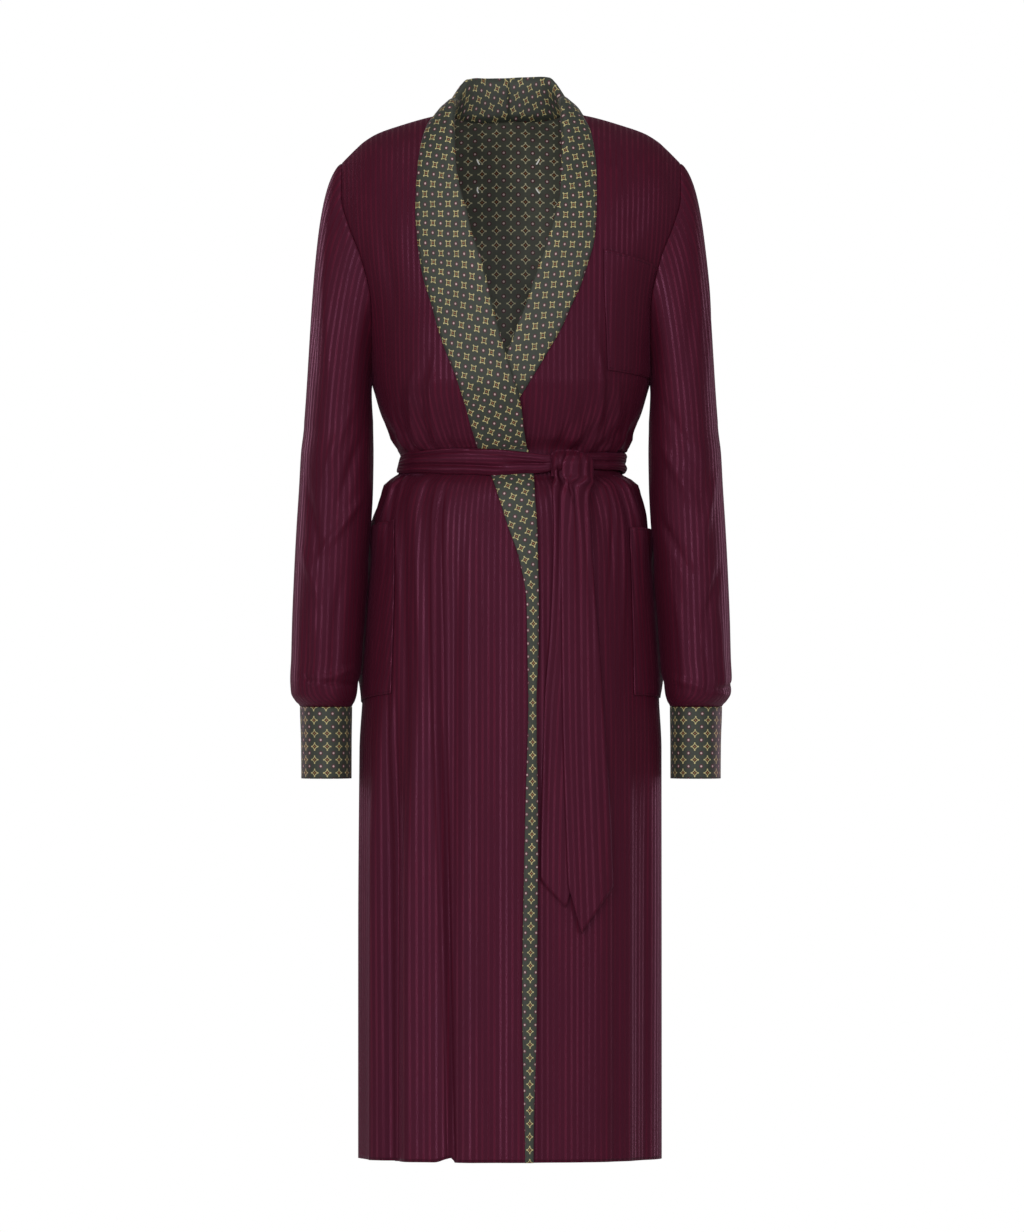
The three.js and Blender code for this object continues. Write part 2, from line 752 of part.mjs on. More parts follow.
// Knot: a rounded loop of the belt that sits on the wrap, with a ridge and a dip across it
const KNOT = { left: 25, right: 46.5, top: -363, bottom: -389.5, base: 2, thick: 13, steps: 8 };
const KNOT_LIFT = BELT_LIFT + BELT.thick + BELT.crush + GAP;
const KNOT_ENDS = 0.45; // share of its thickness that its upper and lower ends keep
const KNOT_FOLDS = table("place width height", [0.8, 0.1, 2.5], [0.35, 0.1, -1.5]);

function knotLift(u, v) {
  const round = (share) => Math.sqrt(1 - Math.abs(2 * share - 1) ** 3);
  const dome = round(u) * THREE.MathUtils.lerp(KNOT_ENDS, 1, round(v));
  let lift = KNOT_LIFT + KNOT.base + KNOT.thick * dome;
  for (const fold of KNOT_FOLDS) {
    lift += fold.height * Math.exp(-(((u - fold.place) / fold.width) ** 2));
  }
  return lift;
}

function knot(name) {
  const shares = Array.from({ length: KNOT.steps + 1 }, (_, i) => i / KNOT.steps);
  const layer = (liftOf) =>
    shares.map((v) =>
      shares.map((u) => {
        const theta = THREE.MathUtils.lerp(KNOT.left, KNOT.right, u) * DEGREE;
        return beltPoint(theta, THREE.MathUtils.lerp(KNOT.bottom, KNOT.top, v), liftOf(u, v));
      }),
    );
  return wall(name, layer(knotLift), layer(() => KNOT_LIFT), CLOTH_COLOUR);
}

// Tails: each hangs from the knot on the under front and ends in a point. Tip is where the point is
// across the end, and lift how far its back stays off the cloth.
const TAIL_RIGHT = table(
  "height left right lift",
  [-931, 64, 112, 3.4],
  [-800, 60, 107, 3.4],
  [-640, 55, 98, 3.4],
  [-560, 54, 93, 3.8],
  [-482, 53, 88, 5],
  [-430, 53, 84, 6.5],
  [-402, 53, 82, 7],
  [-390, 53, 81, 13],
);
const TAIL_LEFT = table(
  "height left right lift",
  [-931, 31.5, 68, 1.2],
  [-800, 32, 68, 1.2],
  [-640, 36, 66, 1.2],
  [-560, 42, 66, 1.4],
  [-482, 45, 66, 2],
  [-430, 45.5, 66, 3],
  [-402, 45.5, 66, 3.5],
  [-390, 45.5, 66, 9],
);
const TAIL = { columns: 4, thick: 1.8, rowGap: 5, endGap: 2 };

function tail(name, rows, end) {
  const left = track(rows, "height", "left");
  const right = track(rows, "height", "right");
  const lift = track(rows, "height", "lift");
  const top = KNOT.bottom - GAP;
  const between = PANEL_LEVELS.filter((level) => level < top && level > end.shoulders + TAIL.rowGap);
  const shares = Array.from({ length: TAIL.columns + 1 }, (_, j) => j / TAIL.columns);
  const pointed = shares.map((share) => {
    const peak = share < end.tip ? share / end.tip : (1 - share) / (1 - end.tip);
    return THREE.MathUtils.lerp(end.shoulders - TAIL.endGap, end.point, peak);
  });
  const heights = [top, ...between.reverse(), end.shoulders].map((level) => shares.map(() => level));
  const layer = (thick) =>
    [...heights, pointed].map((row) =>
      row.map((height, j) => {
        const x = THREE.MathUtils.lerp(left(height), right(height), shares[j]);
        const theta = angleOf(x, height, FRONT);
        const normal = bodyNormal(theta, height).setZ(0).normalize();
        const base = bodyPoint(theta, height).add(new THREE.Vector3(0, -GAP / 2, 0));
        return base.addScaledVector(normal, lift(height) + thick);
      }),
    );
  return wall(name, layer(TAIL.thick), layer(0), CLOTH_COLOUR);
}

// Back lining: it lies inside the back, from the neck to just above the belt
const LINING_END = rowOf(-330);

function lining(name) {
  const inside = cutOut(back, [LINING_END, backRows.length - 1], [0, BACK_COLUMNS], -LINED);
  return wall(name, inside.points, moved(inside.points, inside.normals, -WALL), PRINT_COLOUR);
}

const robe = new THREE.Group();
robe.name = "robe_coat";
robe.add(
  panelWall("back", back),
  panelWall("front_right", overFront),
  panelWall("front_left", underFront),
  lining("back_lining"),
  collar("collar_right", overFront, WEARERS_RIGHT),
  collar("collar_left", underFront, WEARERS_LEFT),
  sleeve("sleeve_right", WEARERS_RIGHT),
  sleeve("sleeve_left", WEARERS_LEFT),
  cuff("cuff_right", WEARERS_RIGHT),
  cuff("cuff_left", WEARERS_LEFT),
  patch("pocket_chest", underFront, CHEST_POCKET, [pocketColumn, sideColumn - 1]),
  patch("pocket_hip_right", overFront, HIP_POCKET, [pocketColumn, sideColumn]),
  patch("pocket_hip_left", underFront, HIP_POCKET, [pocketColumn, sideColumn]),
  beltWrap("belt_wrap"),
  knot("belt_knot"),
  tail("belt_tail_left", TAIL_LEFT, { shoulders: -830, point: -861, tip: 0.78 }),
  tail("belt_tail_right", TAIL_RIGHT, { shoulders: -836, point: -890, tip: 0.26 }),
);

export default robe;
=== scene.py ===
"""Looks of a long wrap robe coat: satin-stripe cloth, a foulard shawl collar and a tie belt.

Sizes are in millimetres until a mesh is made. +Z is up and the front faces -Y.
"""

import logging
import math
from dataclasses import dataclass, field
from enum import Enum

import bmesh
import bpy
import numpy as np
from mathutils import Matrix, Vector


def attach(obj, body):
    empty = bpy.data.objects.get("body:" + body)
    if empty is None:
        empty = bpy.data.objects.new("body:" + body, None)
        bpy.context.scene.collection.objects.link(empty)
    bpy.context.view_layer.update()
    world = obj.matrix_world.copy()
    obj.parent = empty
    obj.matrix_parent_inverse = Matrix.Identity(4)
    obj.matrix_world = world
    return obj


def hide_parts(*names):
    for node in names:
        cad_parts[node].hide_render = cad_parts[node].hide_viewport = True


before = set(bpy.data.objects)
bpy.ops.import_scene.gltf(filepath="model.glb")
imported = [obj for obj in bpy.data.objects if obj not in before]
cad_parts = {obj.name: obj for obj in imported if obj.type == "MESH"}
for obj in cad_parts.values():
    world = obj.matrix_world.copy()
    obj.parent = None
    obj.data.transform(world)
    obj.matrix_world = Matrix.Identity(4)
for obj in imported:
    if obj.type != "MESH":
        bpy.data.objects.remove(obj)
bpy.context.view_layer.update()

LOG = logging.getLogger("robe_coat")
MM = 0.001
DEGREE = math.pi / 180

# Cloth and seams
WALL = 1.2  # thickness of a solid's wall
GAP = 0.3  # between one piece and the next
CLOTH = 0.8  # thickness of one layer as it is shown
WRAP_LIFT = 3.9  # of the over front over the under front, full inside these places
LIFT_ACROSS = (-95, -140)
LIFT_DOWN = (-185, -245)
BELT_LIFT = 5.9  # of the wrap off the waist
SEAM_PUFF = 0.6  # how far the cloth stands out beside a seam
SEAM_WIDTH = 3.0  # how near to the seam it stands out most

# Levels
HEM_Z = -1138.5
ARMPIT_Z = -285.0
BELT_Z = -375.0
SLEEVE_HEM_Z = -643.0
CUFF_HEM_Z = -721.5

# Section shape: 2 is an ellipse, more is squarer
BODY_ROUND = 2.3
FRONT_YOKE_ROUND = 2.2
BACK_YOKE_ROUND = 2.8
TUBE_ROUND = 2.15
YOKE_TURN = -ARMPIT_Z / (math.pi / 2)


class Side(Enum):
    """The wearer's side that a piece is on."""

    RIGHT = -1
    LEFT = 1


class Half(Enum):
    """The half of the coat that a piece belongs to."""

    FRONT = 1
    BACK = -1


def table(columns: str, *rows: tuple) -> dict[str, np.ndarray]:
    """A table by column.

    Args:
        columns: The columns' names, parted by spaces.
        rows: One tuple of numbers for each row.

    Returns:
        Each column's numbers by its name.
    """
    return {name: np.array([row[i] for row in rows], float) for i, name in enumerate(columns.split())}


# Half width and depths of the body's section at each level
BODY = table(
    "level half front back",
    (-1138.5, 165.5, 129, 127),
    (-900, 165.5, 126, 124),
    (-690, 165.5, 122, 119),
    (-640, 163, 121, 118),
    (-560, 158, 119, 116),
    (-482, 152, 116, 112),
    (-440, 149, 113, 107),
    (-414, 142.5, 108, 101),
    (-402, 136, 102, 96),
    (-389, 118, 91, 86),
    (-361, 118, 91, 86),
    (-348, 129, 101, 93),
    (-323, 142, 112, 99),
    (-300, 149, 119, 103),
    (-285, 153, 122, 106),
    (-243, 157, 122, 109),
    (-197, 163, 121, 112),
    (-142, 178, 119, 112),
    (-88, 191, 117, 109),
    (-42, 196, 116, 106),
    (0, 196, 115, 104),
)
# The shoulder ridge seen from the front: its height by the distance from the middle
RIDGE = table(
    "across height",
    (0, 27),
    (40, 19),
    (62, 11),
    (93, 4),
    (122, -4.5),
    (146, -13),
    (161, -22),
    (171, -31),
    (180, -40),
    (186, -46),
    (200, -58),
)
# The armhole's distance from the middle by the share of the way up to the ridge
ARMHOLE = table(
    "rise across",
    (0, 153),
    (0.15, 152.5),
    (0.31, 153),
    (0.5, 163),
    (0.69, 178),
    (0.85, 186),
    (1, 186),
)
# Degrees round from the middle of the front to the side seam
SIDE_SEAM = table(
    "level angle",
    (-1138.5, 100),
    (-640, 99),
    (-440, 97),
    (-375, 93),
    (-285, 90),
)
# The over front's folded inner edge and its collar's outer edge
OVER_LINES = table(
    "height roll outer",
    (-1138.5, 24, 15),
    (-966, 27.5, 12),
    (-768, 28.5, 15),
    (-636, 27.5, 18.5),
    (-581, 29.5, 17.6),
    (-526, 29.7, 16.5),
    (-482, 29, 8.8),
    (-444, 28, -4),
    (-416, 26, -13),
    (-389, 24, -23),
    (-361, 18, -34),
    (-338, 14, -42),
    (-311, 10.5, -49.5),
    (-285, 3, -58),
    (-257, -5.5, -69),
    (-231, -13, -78),
    (-204, -20, -86),
    (-178, -26, -94.6),
    (-150, -33.5, -100),
    (-127, -42, -102.5),
    (-100, -48, -104),
    (-77, -55, -103.5),
    (-49, -59.5, -101.5),
    (-26, -61, -98),
    (-4, -62, -91),
    (11, -62, -80),
)
# The same two lines of the under front
UNDER_LINES = table(
    "height roll outer",
    (-1138.5, -78, -66),
    (-640, -78, -65),
    (-526, -78, -64),
    (-482, -78, -55),
    (-444, -77, -46),
    (-416, -75, -38),
    (-389, -72, -29),
    (-361, -66, -20),
    (-325, -48, -4),
    (-306, -36, 8.8),
    (-278, -18, 26.4),
    (-256, -4.4, 39.6),
    (-229, 5.5, 55),
    (-206, 15, 65),
    (-185, 22, 74.8),
    (-155, 32, 84.7),
    (-130, 40.7, 91.3),
    (-103, 48.4, 93),
    (-84, 52.8, 93.5),
    (-59, 54.5, 93.5),
    (-33, 55, 91),
    (-11, 55, 86.5),
    (11, 55, 77),
)
# Long folds of the skirt by degrees round, with the levels where each starts and is full
FOLDS = table(
    "angle height width start full",
    (-84, 3, 7, -480, -900),
    (-66, 4, 5, -560, -800),
    (-56, -8, 4.5, -600, -820),
    (-46, 5, 5, -560, -800),
    (-30, -4, 5, -402, -600),
    (-21, 2, 5, -402, -600),
    (19, -2, 6, -640, -760),
    (43, 2.5, 7, -440, -700),
    (60, -3, 6, -440, -800),
    (76, 3, 7, -402, -900),
    (112, -4, 6, -440, -820),
    (126, 5, 7, -440, -820),
    (142, -5, 7, -402, -700),
    (158, 5, 8, -402, -760),
    (176, -4, 7, -420, -800),
    (193, 5, 8, -402, -760),
    (209, -5, 7, -402, -700),
    (226, 5, 8, -440, -820),
    (245, -4, 7, -440, -820),
)
# The collar round the neck: how high it stands, how far it falls and how it bulges
COLLAR_NECK = table(
    "angle stand fall bulge",
    (102, 17, 22, 1),
    (108, 23, 21.5, 1.5),
    (114, 28, 21, 2.5),
    (120, 33.5, 21, 3.5),
    (126, 39, 21, 5),
    (133, 43.5, 21, 6),
    (147, 45, 22, 7),
    (163, 44.5, 22, 7),
    (180, 43.5, 22, 7),
)
# The collar as it rises up the yoke, from lying flat at blend 0 to standing at 1
COLLAR_RISING = table("rise stand blend", (0.69, 3, 0), (0.85, 6.5, 0.35), (0.96, 10, 0.8), (1, 12.5, 1))
# How far the print is turned from the collar's inner edge, in degrees, and how closely its
# repeats follow across the collar and along it
PRINT_TURN = table(
    "height turn across along",
    (-1138.5, 90, 0.74, 0.9),
    (-548, 90, 0.74, 0.9),
    (-482, 81, 0.88, 0.88),
    (-416, 76, 0.9, 0.87),
    (-328, 78, 0.84, 0.92),
    (-251, 74, 0.77, 0.98),
    (-185, 67, 0.75, 1),
    (-64, 54, 0.76, 1),
    (-4, 56, 0.85, 1),
)
# Sections of the sleeve: its inner and outer distance, the middle of its depth and half its depth
SLEEVE = table(
    "level inner outer centre depth",
    (-642.7, 174.5, 231.5, -25, 42),
    (-637, 171.5, 236.5, -24, 49),
    (-628, 169, 241.5, -23, 54),
    (-612, 167.5, 242.5, -22, 56),
    (-590, 166, 241.5, -21, 55),
    (-550, 163, 240.5, -19, 55),
    (-500, 158.5, 238.5, -16, 56),
    (-450, 154, 236, -12, 57),
    (-402, 151.5, 233, -8, 58),
    (-365, 151, 231, -5, 60),
    (-330, 151.5, 227.5, -2, 60),
)
# The cuff's sections, as the sleeve's
CUFF = table(
    "level inner outer centre depth",
    (-721.5, 175.3, 230.6, -27, 41.5),
    (-683, 175, 230.7, -26, 41.5),
    (-643, 174.3, 231.7, -25, 42.2),
)
# The longer end of the belt: its edges seen from the front, and how far it is lifted
TAIL_RIGHT = table(
    "height left right lift",
    (-931, 64, 112, 3.4),
    (-800, 60, 107, 3.4),
    (-640, 55, 98, 3.4),
    (-560, 54, 93, 3.8),
    (-482, 53, 87, 5),
    (-430, 52, 83.5, 8),
    (-402, 50, 82, 14.5),
    (-397, 49.5, 82, 19.5),
    (-392, 49, 81.5, 24),
    (-384, 49, 81.5, 24),
    (-376, 49.5, 81, 24.5),
    (-370, 52, 79.5, 22),
    (-366, 54.5, 77, 17),
    (-363.5, 57, 74.5, 11),
)
# The shorter end of the belt
TAIL_LEFT = table(
    "height left right lift",
    (-931, 31.5, 68, 1.2),
    (-800, 32, 68, 1.2),
    (-640, 36, 66, 1.2),
    (-560, 42, 66, 1.4),
    (-482, 45, 66, 2),
    (-430, 45.5, 66, 4.5),
    (-402, 44.5, 64, 9),
    (-386, 44, 60, 13),
)

# Creases of the body by place from the middle and height. Start and end are the shares of the
# length over which a crease fades in and out.
FRONT_CREASES = table(
    "x z to_x to_z bend width height start end",
    (-69, -392, -68, -1138, 0, 3, 3.2, 0.05, 0),
    (-62.5, -392, -61.5, -1138, 0, 2.8, -2.8, 0.05, 0),
    (-128, -600, -129, -1138, 0, 2.4, 3.2, 0.15, 0),
    (-134, -610, -135, -1138, 0, 4, -2.4, 0.1, 0),
    (-38, -400, -42, -1138, 2, 9, 1.8, 0.1, 0),
    (-12, -420, -14, -1138, 0, 10, -1.4, 0.3, 0),
    (-96, -392, -104, -900, 3, 6, -2, 0.02, 0.5),
    (-86, -392, -90, -760, 2, 5, 1.8, 0.02, 0.6),
    (-106, -392, -122, -560, 3, 3.5, 2, 0.02, 0.7),
    (-113, -394, -140, -540, 5, 3.2, -2, 0.02, 0.7),
    (-118, -396, -150, -510, 6, 3, 2, 0.02, 0.7),
    (34, -480, 37, -800, 0, 3, 1.4, 0.2, 0.3),
    (92, -392, 103, -560, 3, 3.2, -2, 0.02, 0.7),
    (99, -392, 120, -600, 4, 3.4, 2.2, 0.02, 0.7),
    (106, -394, 132, -590, 6, 3, -2, 0.02, 0.7),
    (112, -394, 142, -560, 8, 3.2, 2.2, 0.02, 0.7),
    (117, -396, 152, -520, 9, 3, -1.8, 0.02, 0.7),
    (128, -560, 131, -1138, 0, 8, 2, 0.4, 0),
    (112, -620, 113, -1138, 0, 7, -1.8, 0.4, 0),
    (146, -640, 148, -1138, 0, 6, -2, 0.4, 0),
    (-108, -700, -108, -1138, 0, 7, 1.8, 0.4, 0),
    (-148, -660, -150, -1138, 0, 5, 1.6, 0.3, 0),
    (-74, -358, -73, -230, 2, 4, 2.2, 0.02, 0.5),
    (-84, -358, -86, -250, 2, 3.5, -1.8, 0.02, 0.6),
    (-94, -358, -100, -262, 3, 4, 2.4, 0.02, 0.6),
    (-103, -358, -116, -280, 4, 3.4, -2, 0.02, 0.6),
    (-110, -358, -130, -290, 4, 3.4, 2.2, 0.02, 0.6),
    (-62, -358, -60, -285, 1, 3.5, -1.6, 0.02, 0.6),
    (84, -366, 84, -190, -2, 4, 2.2, 0.02, 0.5),
    (74, -362, 70, -280, -2, 3.6, -1.8, 0.02, 0.6),
    (64, -362, 58, -300, -1, 3.6, 1.8, 0.02, 0.6),
    (94, -362, 98, -268, -2, 3.6, -2, 0.02, 0.6),
    (102, -362, 112, -276, -3, 3.6, 2.4, 0.02, 0.6),
    (110, -362, 126, -292, -4, 3.4, -2, 0.02, 0.6),
    (-150, -100, -128, -240, 6, 9, -1.8, 0.5, 0.5),
    (-128, -60, -118, -180, 4, 12, 1.2, 0.5, 0.5),
    (150, -100, 134, -130, -6, 9, -1.4, 0.5, 0.5),
    (122, -60, 108, -138, -4, 12, 1.2, 0.5, 0.5),
)
BACK_CREASES = table(
    "x z to_x to_z bend width height start end",
    (-100, -392, -112, -620, 3, 4, 2.4, 0.02, 0.7),
    (-84, -392, -92, -700, 2, 4.5, -2.2, 0.02, 0.7),
    (-66, -392, -70, -600, 1, 4, 2, 0.02, 0.7),
    (-44, -392, -48, -760, 2, 5, -2, 0.02, 0.6),
    (-22, -392, -22, -640, 0, 4, 2, 0.02, 0.7),
    (4, -392, 2, -720, 1, 5, -2.2, 0.02, 0.7),
    (28, -392, 32, -620, 2, 4, 2.2, 0.02, 0.7),
    (50, -392, 56, -760, 2, 5, -2, 0.02, 0.6),
    (74, -392, 82, -640, 2, 4, 2.2, 0.02, 0.7),
    (96, -392, 110, -600, 3, 4, -2.2, 0.02, 0.7),
    (-98, -358, -112, -270, 3, 4, 2.2, 0.02, 0.6),
    (-78, -358, -86, -240, 2, 4, -2, 0.02, 0.6),
    (-56, -358, -60, -270, 1, 4, 2, 0.02, 0.6),
    (-30, -358, -30, -220, 0, 5, -1.8, 0.02, 0.6),
    (-4, -358, -4, -280, 0, 4, 2, 0.02, 0.6),
    (24, -358, 26, -230, 0, 5, -1.8, 0.02, 0.6),
    (52, -358, 58, -270, 1, 4, 2, 0.02, 0.6),
    (76, -358, 86, -240, 2, 4, -2, 0.02, 0.6),
    (98, -358, 112, -280, 3, 4, 2.2, 0.02, 0.6),
    (-140, -110, -80, -200, -8, 10, -1.8, 0.5, 0.5),
    (140, -110, 84, -190, 8, 10, -1.8, 0.5, 0.5),
)
# Creases of a sleeve by the angle round it, from the body's side by the front, and height
SLEEVE_CREASES = {
    Side.RIGHT: table(
        "x z to_x to_z bend width height start end",
        (0, -470, 0, -618, 0, 16, 2.6, 0.3, 0.1),
        (170, -110, 120, -330, 6, 7, -2, 0.4, 0.5),
        (128, -120, 92, -330, 6, 8, 2, 0.4, 0.5),
        (60, -300, 110, -420, 6, 6, 2.4, 0.4, 0.5),
        (40, -330, 96, -470, 6, 6, -2.6, 0.4, 0.5),
        (30, -400, 120, -500, 5, 5, 2.4, 0.4, 0.5),
        (150, -380, 100, -520, -6, 6, -2.4, 0.4, 0.5),
        (160, -450, 84, -560, -5, 6, 2.2, 0.4, 0.5),
        (70, -480, 74, -630, 3, 6, -2.2, 0.4, 0.2),
        (96, -540, 96, -636, 2, 5, 2, 0.4, 0.2),
        (130, -520, 122, -634, -3, 6, -2, 0.4, 0.2),
        (10, -617, 150, -607, -4, 2.6, -2.6, 0.2, 0.3),
        (20, -600, 120, -625, 5, 4, 2.4, 0.3, 0.3),
        (230, -200, 250, -420, 5, 8, 2.2, 0.4, 0.5),
        (290, -340, 230, -460, 5, 6, -2.6, 0.4, 0.5),
        (300, -420, 220, -520, 5, 6, 2.6, 0.4, 0.5),
        (250, -500, 262, -630, 4, 6, -2.2, 0.4, 0.2),
        (210, -540, 214, -634, 3, 5, 2, 0.4, 0.2),
    ),
    Side.LEFT: table(
        "x z to_x to_z bend width height start end",
        (0, -470, 0, -618, 0, 16, 2.6, 0.3, 0.1),
        (168, -120, 126, -320, 6, 7, 2, 0.4, 0.5),
        (120, -140, 84, -320, 6, 8, -2, 0.4, 0.5),
        (50, -300, 108, -400, 6, 6, -2.4, 0.4, 0.5),
        (36, -340, 112, -450, 6, 6, 2.6, 0.4, 0.5),
        (28, -420, 104, -530, 5, 6, -2.4, 0.4, 0.5),
        (156, -370, 98, -500, -6, 6, 2.4, 0.4, 0.5),
        (152, -470, 92, -590, -5, 6, -2.2, 0.4, 0.5),
        (60, -500, 66, -636, 3, 6, 2.2, 0.4, 0.2),
        (100, -560, 104, -636, 2, 5, -2, 0.4, 0.2),
        (136, -530, 140, -634, -3, 6, 2, 0.4, 0.2),
        (110, -622, 200, -614, -4, 3, -2.6, 0.3, 0.3),
        (30, -612, 110, -628, 4, 4, 2, 0.3, 0.3),
        (236, -210, 256, -400, 5, 8, -2.2, 0.4, 0.5),
        (286, -330, 226, -440, 5, 6, 2.6, 0.4, 0.5),
        (304, -430, 216, -540, 5, 6, -2.6, 0.4, 0.5),
        (246, -510, 256, -632, 4, 6, 2.2, 0.4, 0.2),
    ),
}


# The wearer's right front laps over the left one
FRONT_LINES = {Side.RIGHT: OVER_LINES, Side.LEFT: UNDER_LINES}


def smoothstep(start: float, end: float, place: np.ndarray) -> np.ndarray:
    """A soft step from 0 at start to 1 at end."""
    share = np.clip((place - start) / (end - start), 0, 1)
    return share * share * (3 - 2 * share)


def signed_power(base: np.ndarray, exponent: np.ndarray | float) -> np.ndarray:
    """A power that keeps the sign of its base."""
    return np.sign(base) * np.abs(base) ** exponent


def unit(vectors: np.ndarray) -> np.ndarray:
    """The same directions with length 1."""
    return vectors / np.maximum(1e-9, np.linalg.norm(vectors, axis=-1, keepdims=True))


def apart(one: np.ndarray, other: float) -> np.ndarray:
    """Signed degrees from one direction to another, the short way round."""
    return (one - other + 180) % 360 - 180


def lerp(start: np.ndarray | float, end: np.ndarray | float, share: np.ndarray | float) -> np.ndarray:
    """A place that is a share of the way from start to end."""
    return start + (end - start) * share


class Track:
    """A smooth curve through one column of a table that rises by its key column."""

    def __init__(self, rows: dict[str, np.ndarray], key: str, value: str) -> None:
        """Works out the slope at each row.

        Args:
            rows: The table.
            key: The column that rises.
            value: The column to follow.
        """
        self.at = rows[key]
        self.of = rows[value]
        secant = np.diff(self.of) / np.diff(self.at)
        before = np.concatenate([[0], secant])
        after = np.concatenate([secant, [0]])
        same_way = before * after > 0
        total = np.where(same_way, before + after, 1)
        self.slope = np.where(same_way, 2 * before * after / total, 0)

    def __call__(self, place: np.ndarray | float) -> np.ndarray:
        """The value at each place, level past both ends."""
        place = np.clip(np.asarray(place, float), self.at[0], self.at[-1])
        i = np.clip(np.searchsorted(self.at, place, side="right") - 1, 0, len(self.at) - 2)
        step = self.at[i + 1] - self.at[i]
        t = (place - self.at[i]) / step
        u = 1 - t
        bend = step * (self.slope[i] * t * u * u - self.slope[i + 1] * t * t * u)
        return self.of[i] * u * u * (1 + 2 * t) + self.of[i + 1] * t * t * (3 - 2 * t) + bend


class CreaseField:
    """Soft ridges and troughs over a form that goes round, by angle and height."""

    def __init__(self, radius: float, rows: dict[str, np.ndarray]) -> None:
        """Lays each crease out as a short path.

        Args:
            radius: Millimetres for a radian round the form.
            rows: A table whose x is in degrees.
        """
        self.scale = radius * DEGREE
        self.rows = [dict(zip(rows, values)) for values in zip(*rows.values())]

    def height(self, degrees: np.ndarray, z: np.ndarray) -> np.ndarray:
        """How far the cloth stands out at each place, in millimetres."""
        total = np.zeros(np.broadcast(degrees, z).shape)
        for row in self.rows:
            total += self.crease(row, degrees, z)
        return total

    def crease(self, row: dict[str, float], degrees: np.ndarray, z: np.ndarray) -> np.ndarray:
        """The height of one crease at each place."""
        across = apart(degrees, row["x"]) * self.scale
        down = z - row["z"]
        end = np.array([apart(row["to_x"], row["x"]) * self.scale, row["to_z"] - row["z"]])
        length = np.hypot(*end)
        along_axis = (across * end[0] + down * end[1]) / length
        off_axis = (across * -end[1] + down * end[0]) / length
        share = along_axis / length
        inside = np.clip(share, 0, 1)
        off = off_axis - row["bend"] * 4 * inside * (1 - inside)
        beyond = np.maximum(0, np.maximum(-share, share - 1)) * length
        fade = np.ones_like(share)
        if row["start"] > 0:
            fade = fade * smoothstep(0, row["start"], inside)
        if row["end"] > 0:
            fade = fade * smoothstep(0, row["end"], 1 - inside)
        return row["height"] * np.exp(-((off / row["width"]) ** 2) - (beyond / row["width"]) ** 2) * fade


@dataclass
class Rows:
    """Rows of cloth up the body: their levels, their shares of the yoke and their nominal levels."""

    level: np.ndarray
    rise: np.ndarray
    nominal: np.ndarray


@dataclass
class Cloth:
    """A grid of cloth: outer points and outward normals, and its flat place in millimetres."""

    points: np.ndarray
    normals: np.ndarray
    flat: np.ndarray

    def sewn_in(self, *edges: str) -> "Cloth":
        """The same cloth, with a soft puff beside each seam.

        Args:
            edges: Any of bottom, top, first and last.

        Returns:
            The cloth, whose seam points have stayed where they were.
        """
        away = Edges(**{edge: True for edge in edges}).distance(self.points)
        return self.moved(SEAM_PUFF * away / SEAM_WIDTH * np.exp(1 - away / SEAM_WIDTH))

    def moved(self, distance: np.ndarray | float) -> "Cloth":
        """The same cloth, moved out along its normals."""
        out = np.broadcast_to(distance, self.points.shape[:2])[..., None]
        return Cloth(self.points + self.normals * out, self.normals, self.flat)


def tracks(rows: dict[str, np.ndarray], key: str, place: np.ndarray, *values: str) -> list[np.ndarray]:
    """Several columns of a table at the same places."""
    return [Track(rows, key, value)(place) for value in values]


def linked(name: str, data: bpy.types.ID) -> bpy.types.Object:
    """An object of some data, put into the scene."""
    made = bpy.data.objects.new(name, data)
    bpy.context.scene.collection.objects.link(made)
    return made


def grid_normals(points: np.ndarray) -> np.ndarray:
    """Unit normals of a grid, across its columns and up its rows."""
    return unit(np.cross(np.gradient(points, axis=1), np.gradient(points, axis=0)))


def tube_normals(points: np.ndarray) -> np.ndarray:
    """Unit normals of a grid whose last column is its first again."""
    ring = points[:, :-1]
    across = np.roll(ring, -1, axis=1) - np.roll(ring, 1, axis=1)
    normals = unit(np.cross(across, np.gradient(ring, axis=0)))
    return np.concatenate([normals, normals[:, :1]], axis=1)


def run(points: np.ndarray, axis: int) -> np.ndarray:
    """The length of cloth from the grid's first row or column to each point."""
    steps = np.linalg.norm(np.diff(points, axis=axis), axis=-1)
    total = np.cumsum(steps, axis=axis)
    first = np.zeros_like(np.take(total, [0], axis=axis))
    return np.concatenate([first, total], axis=axis)


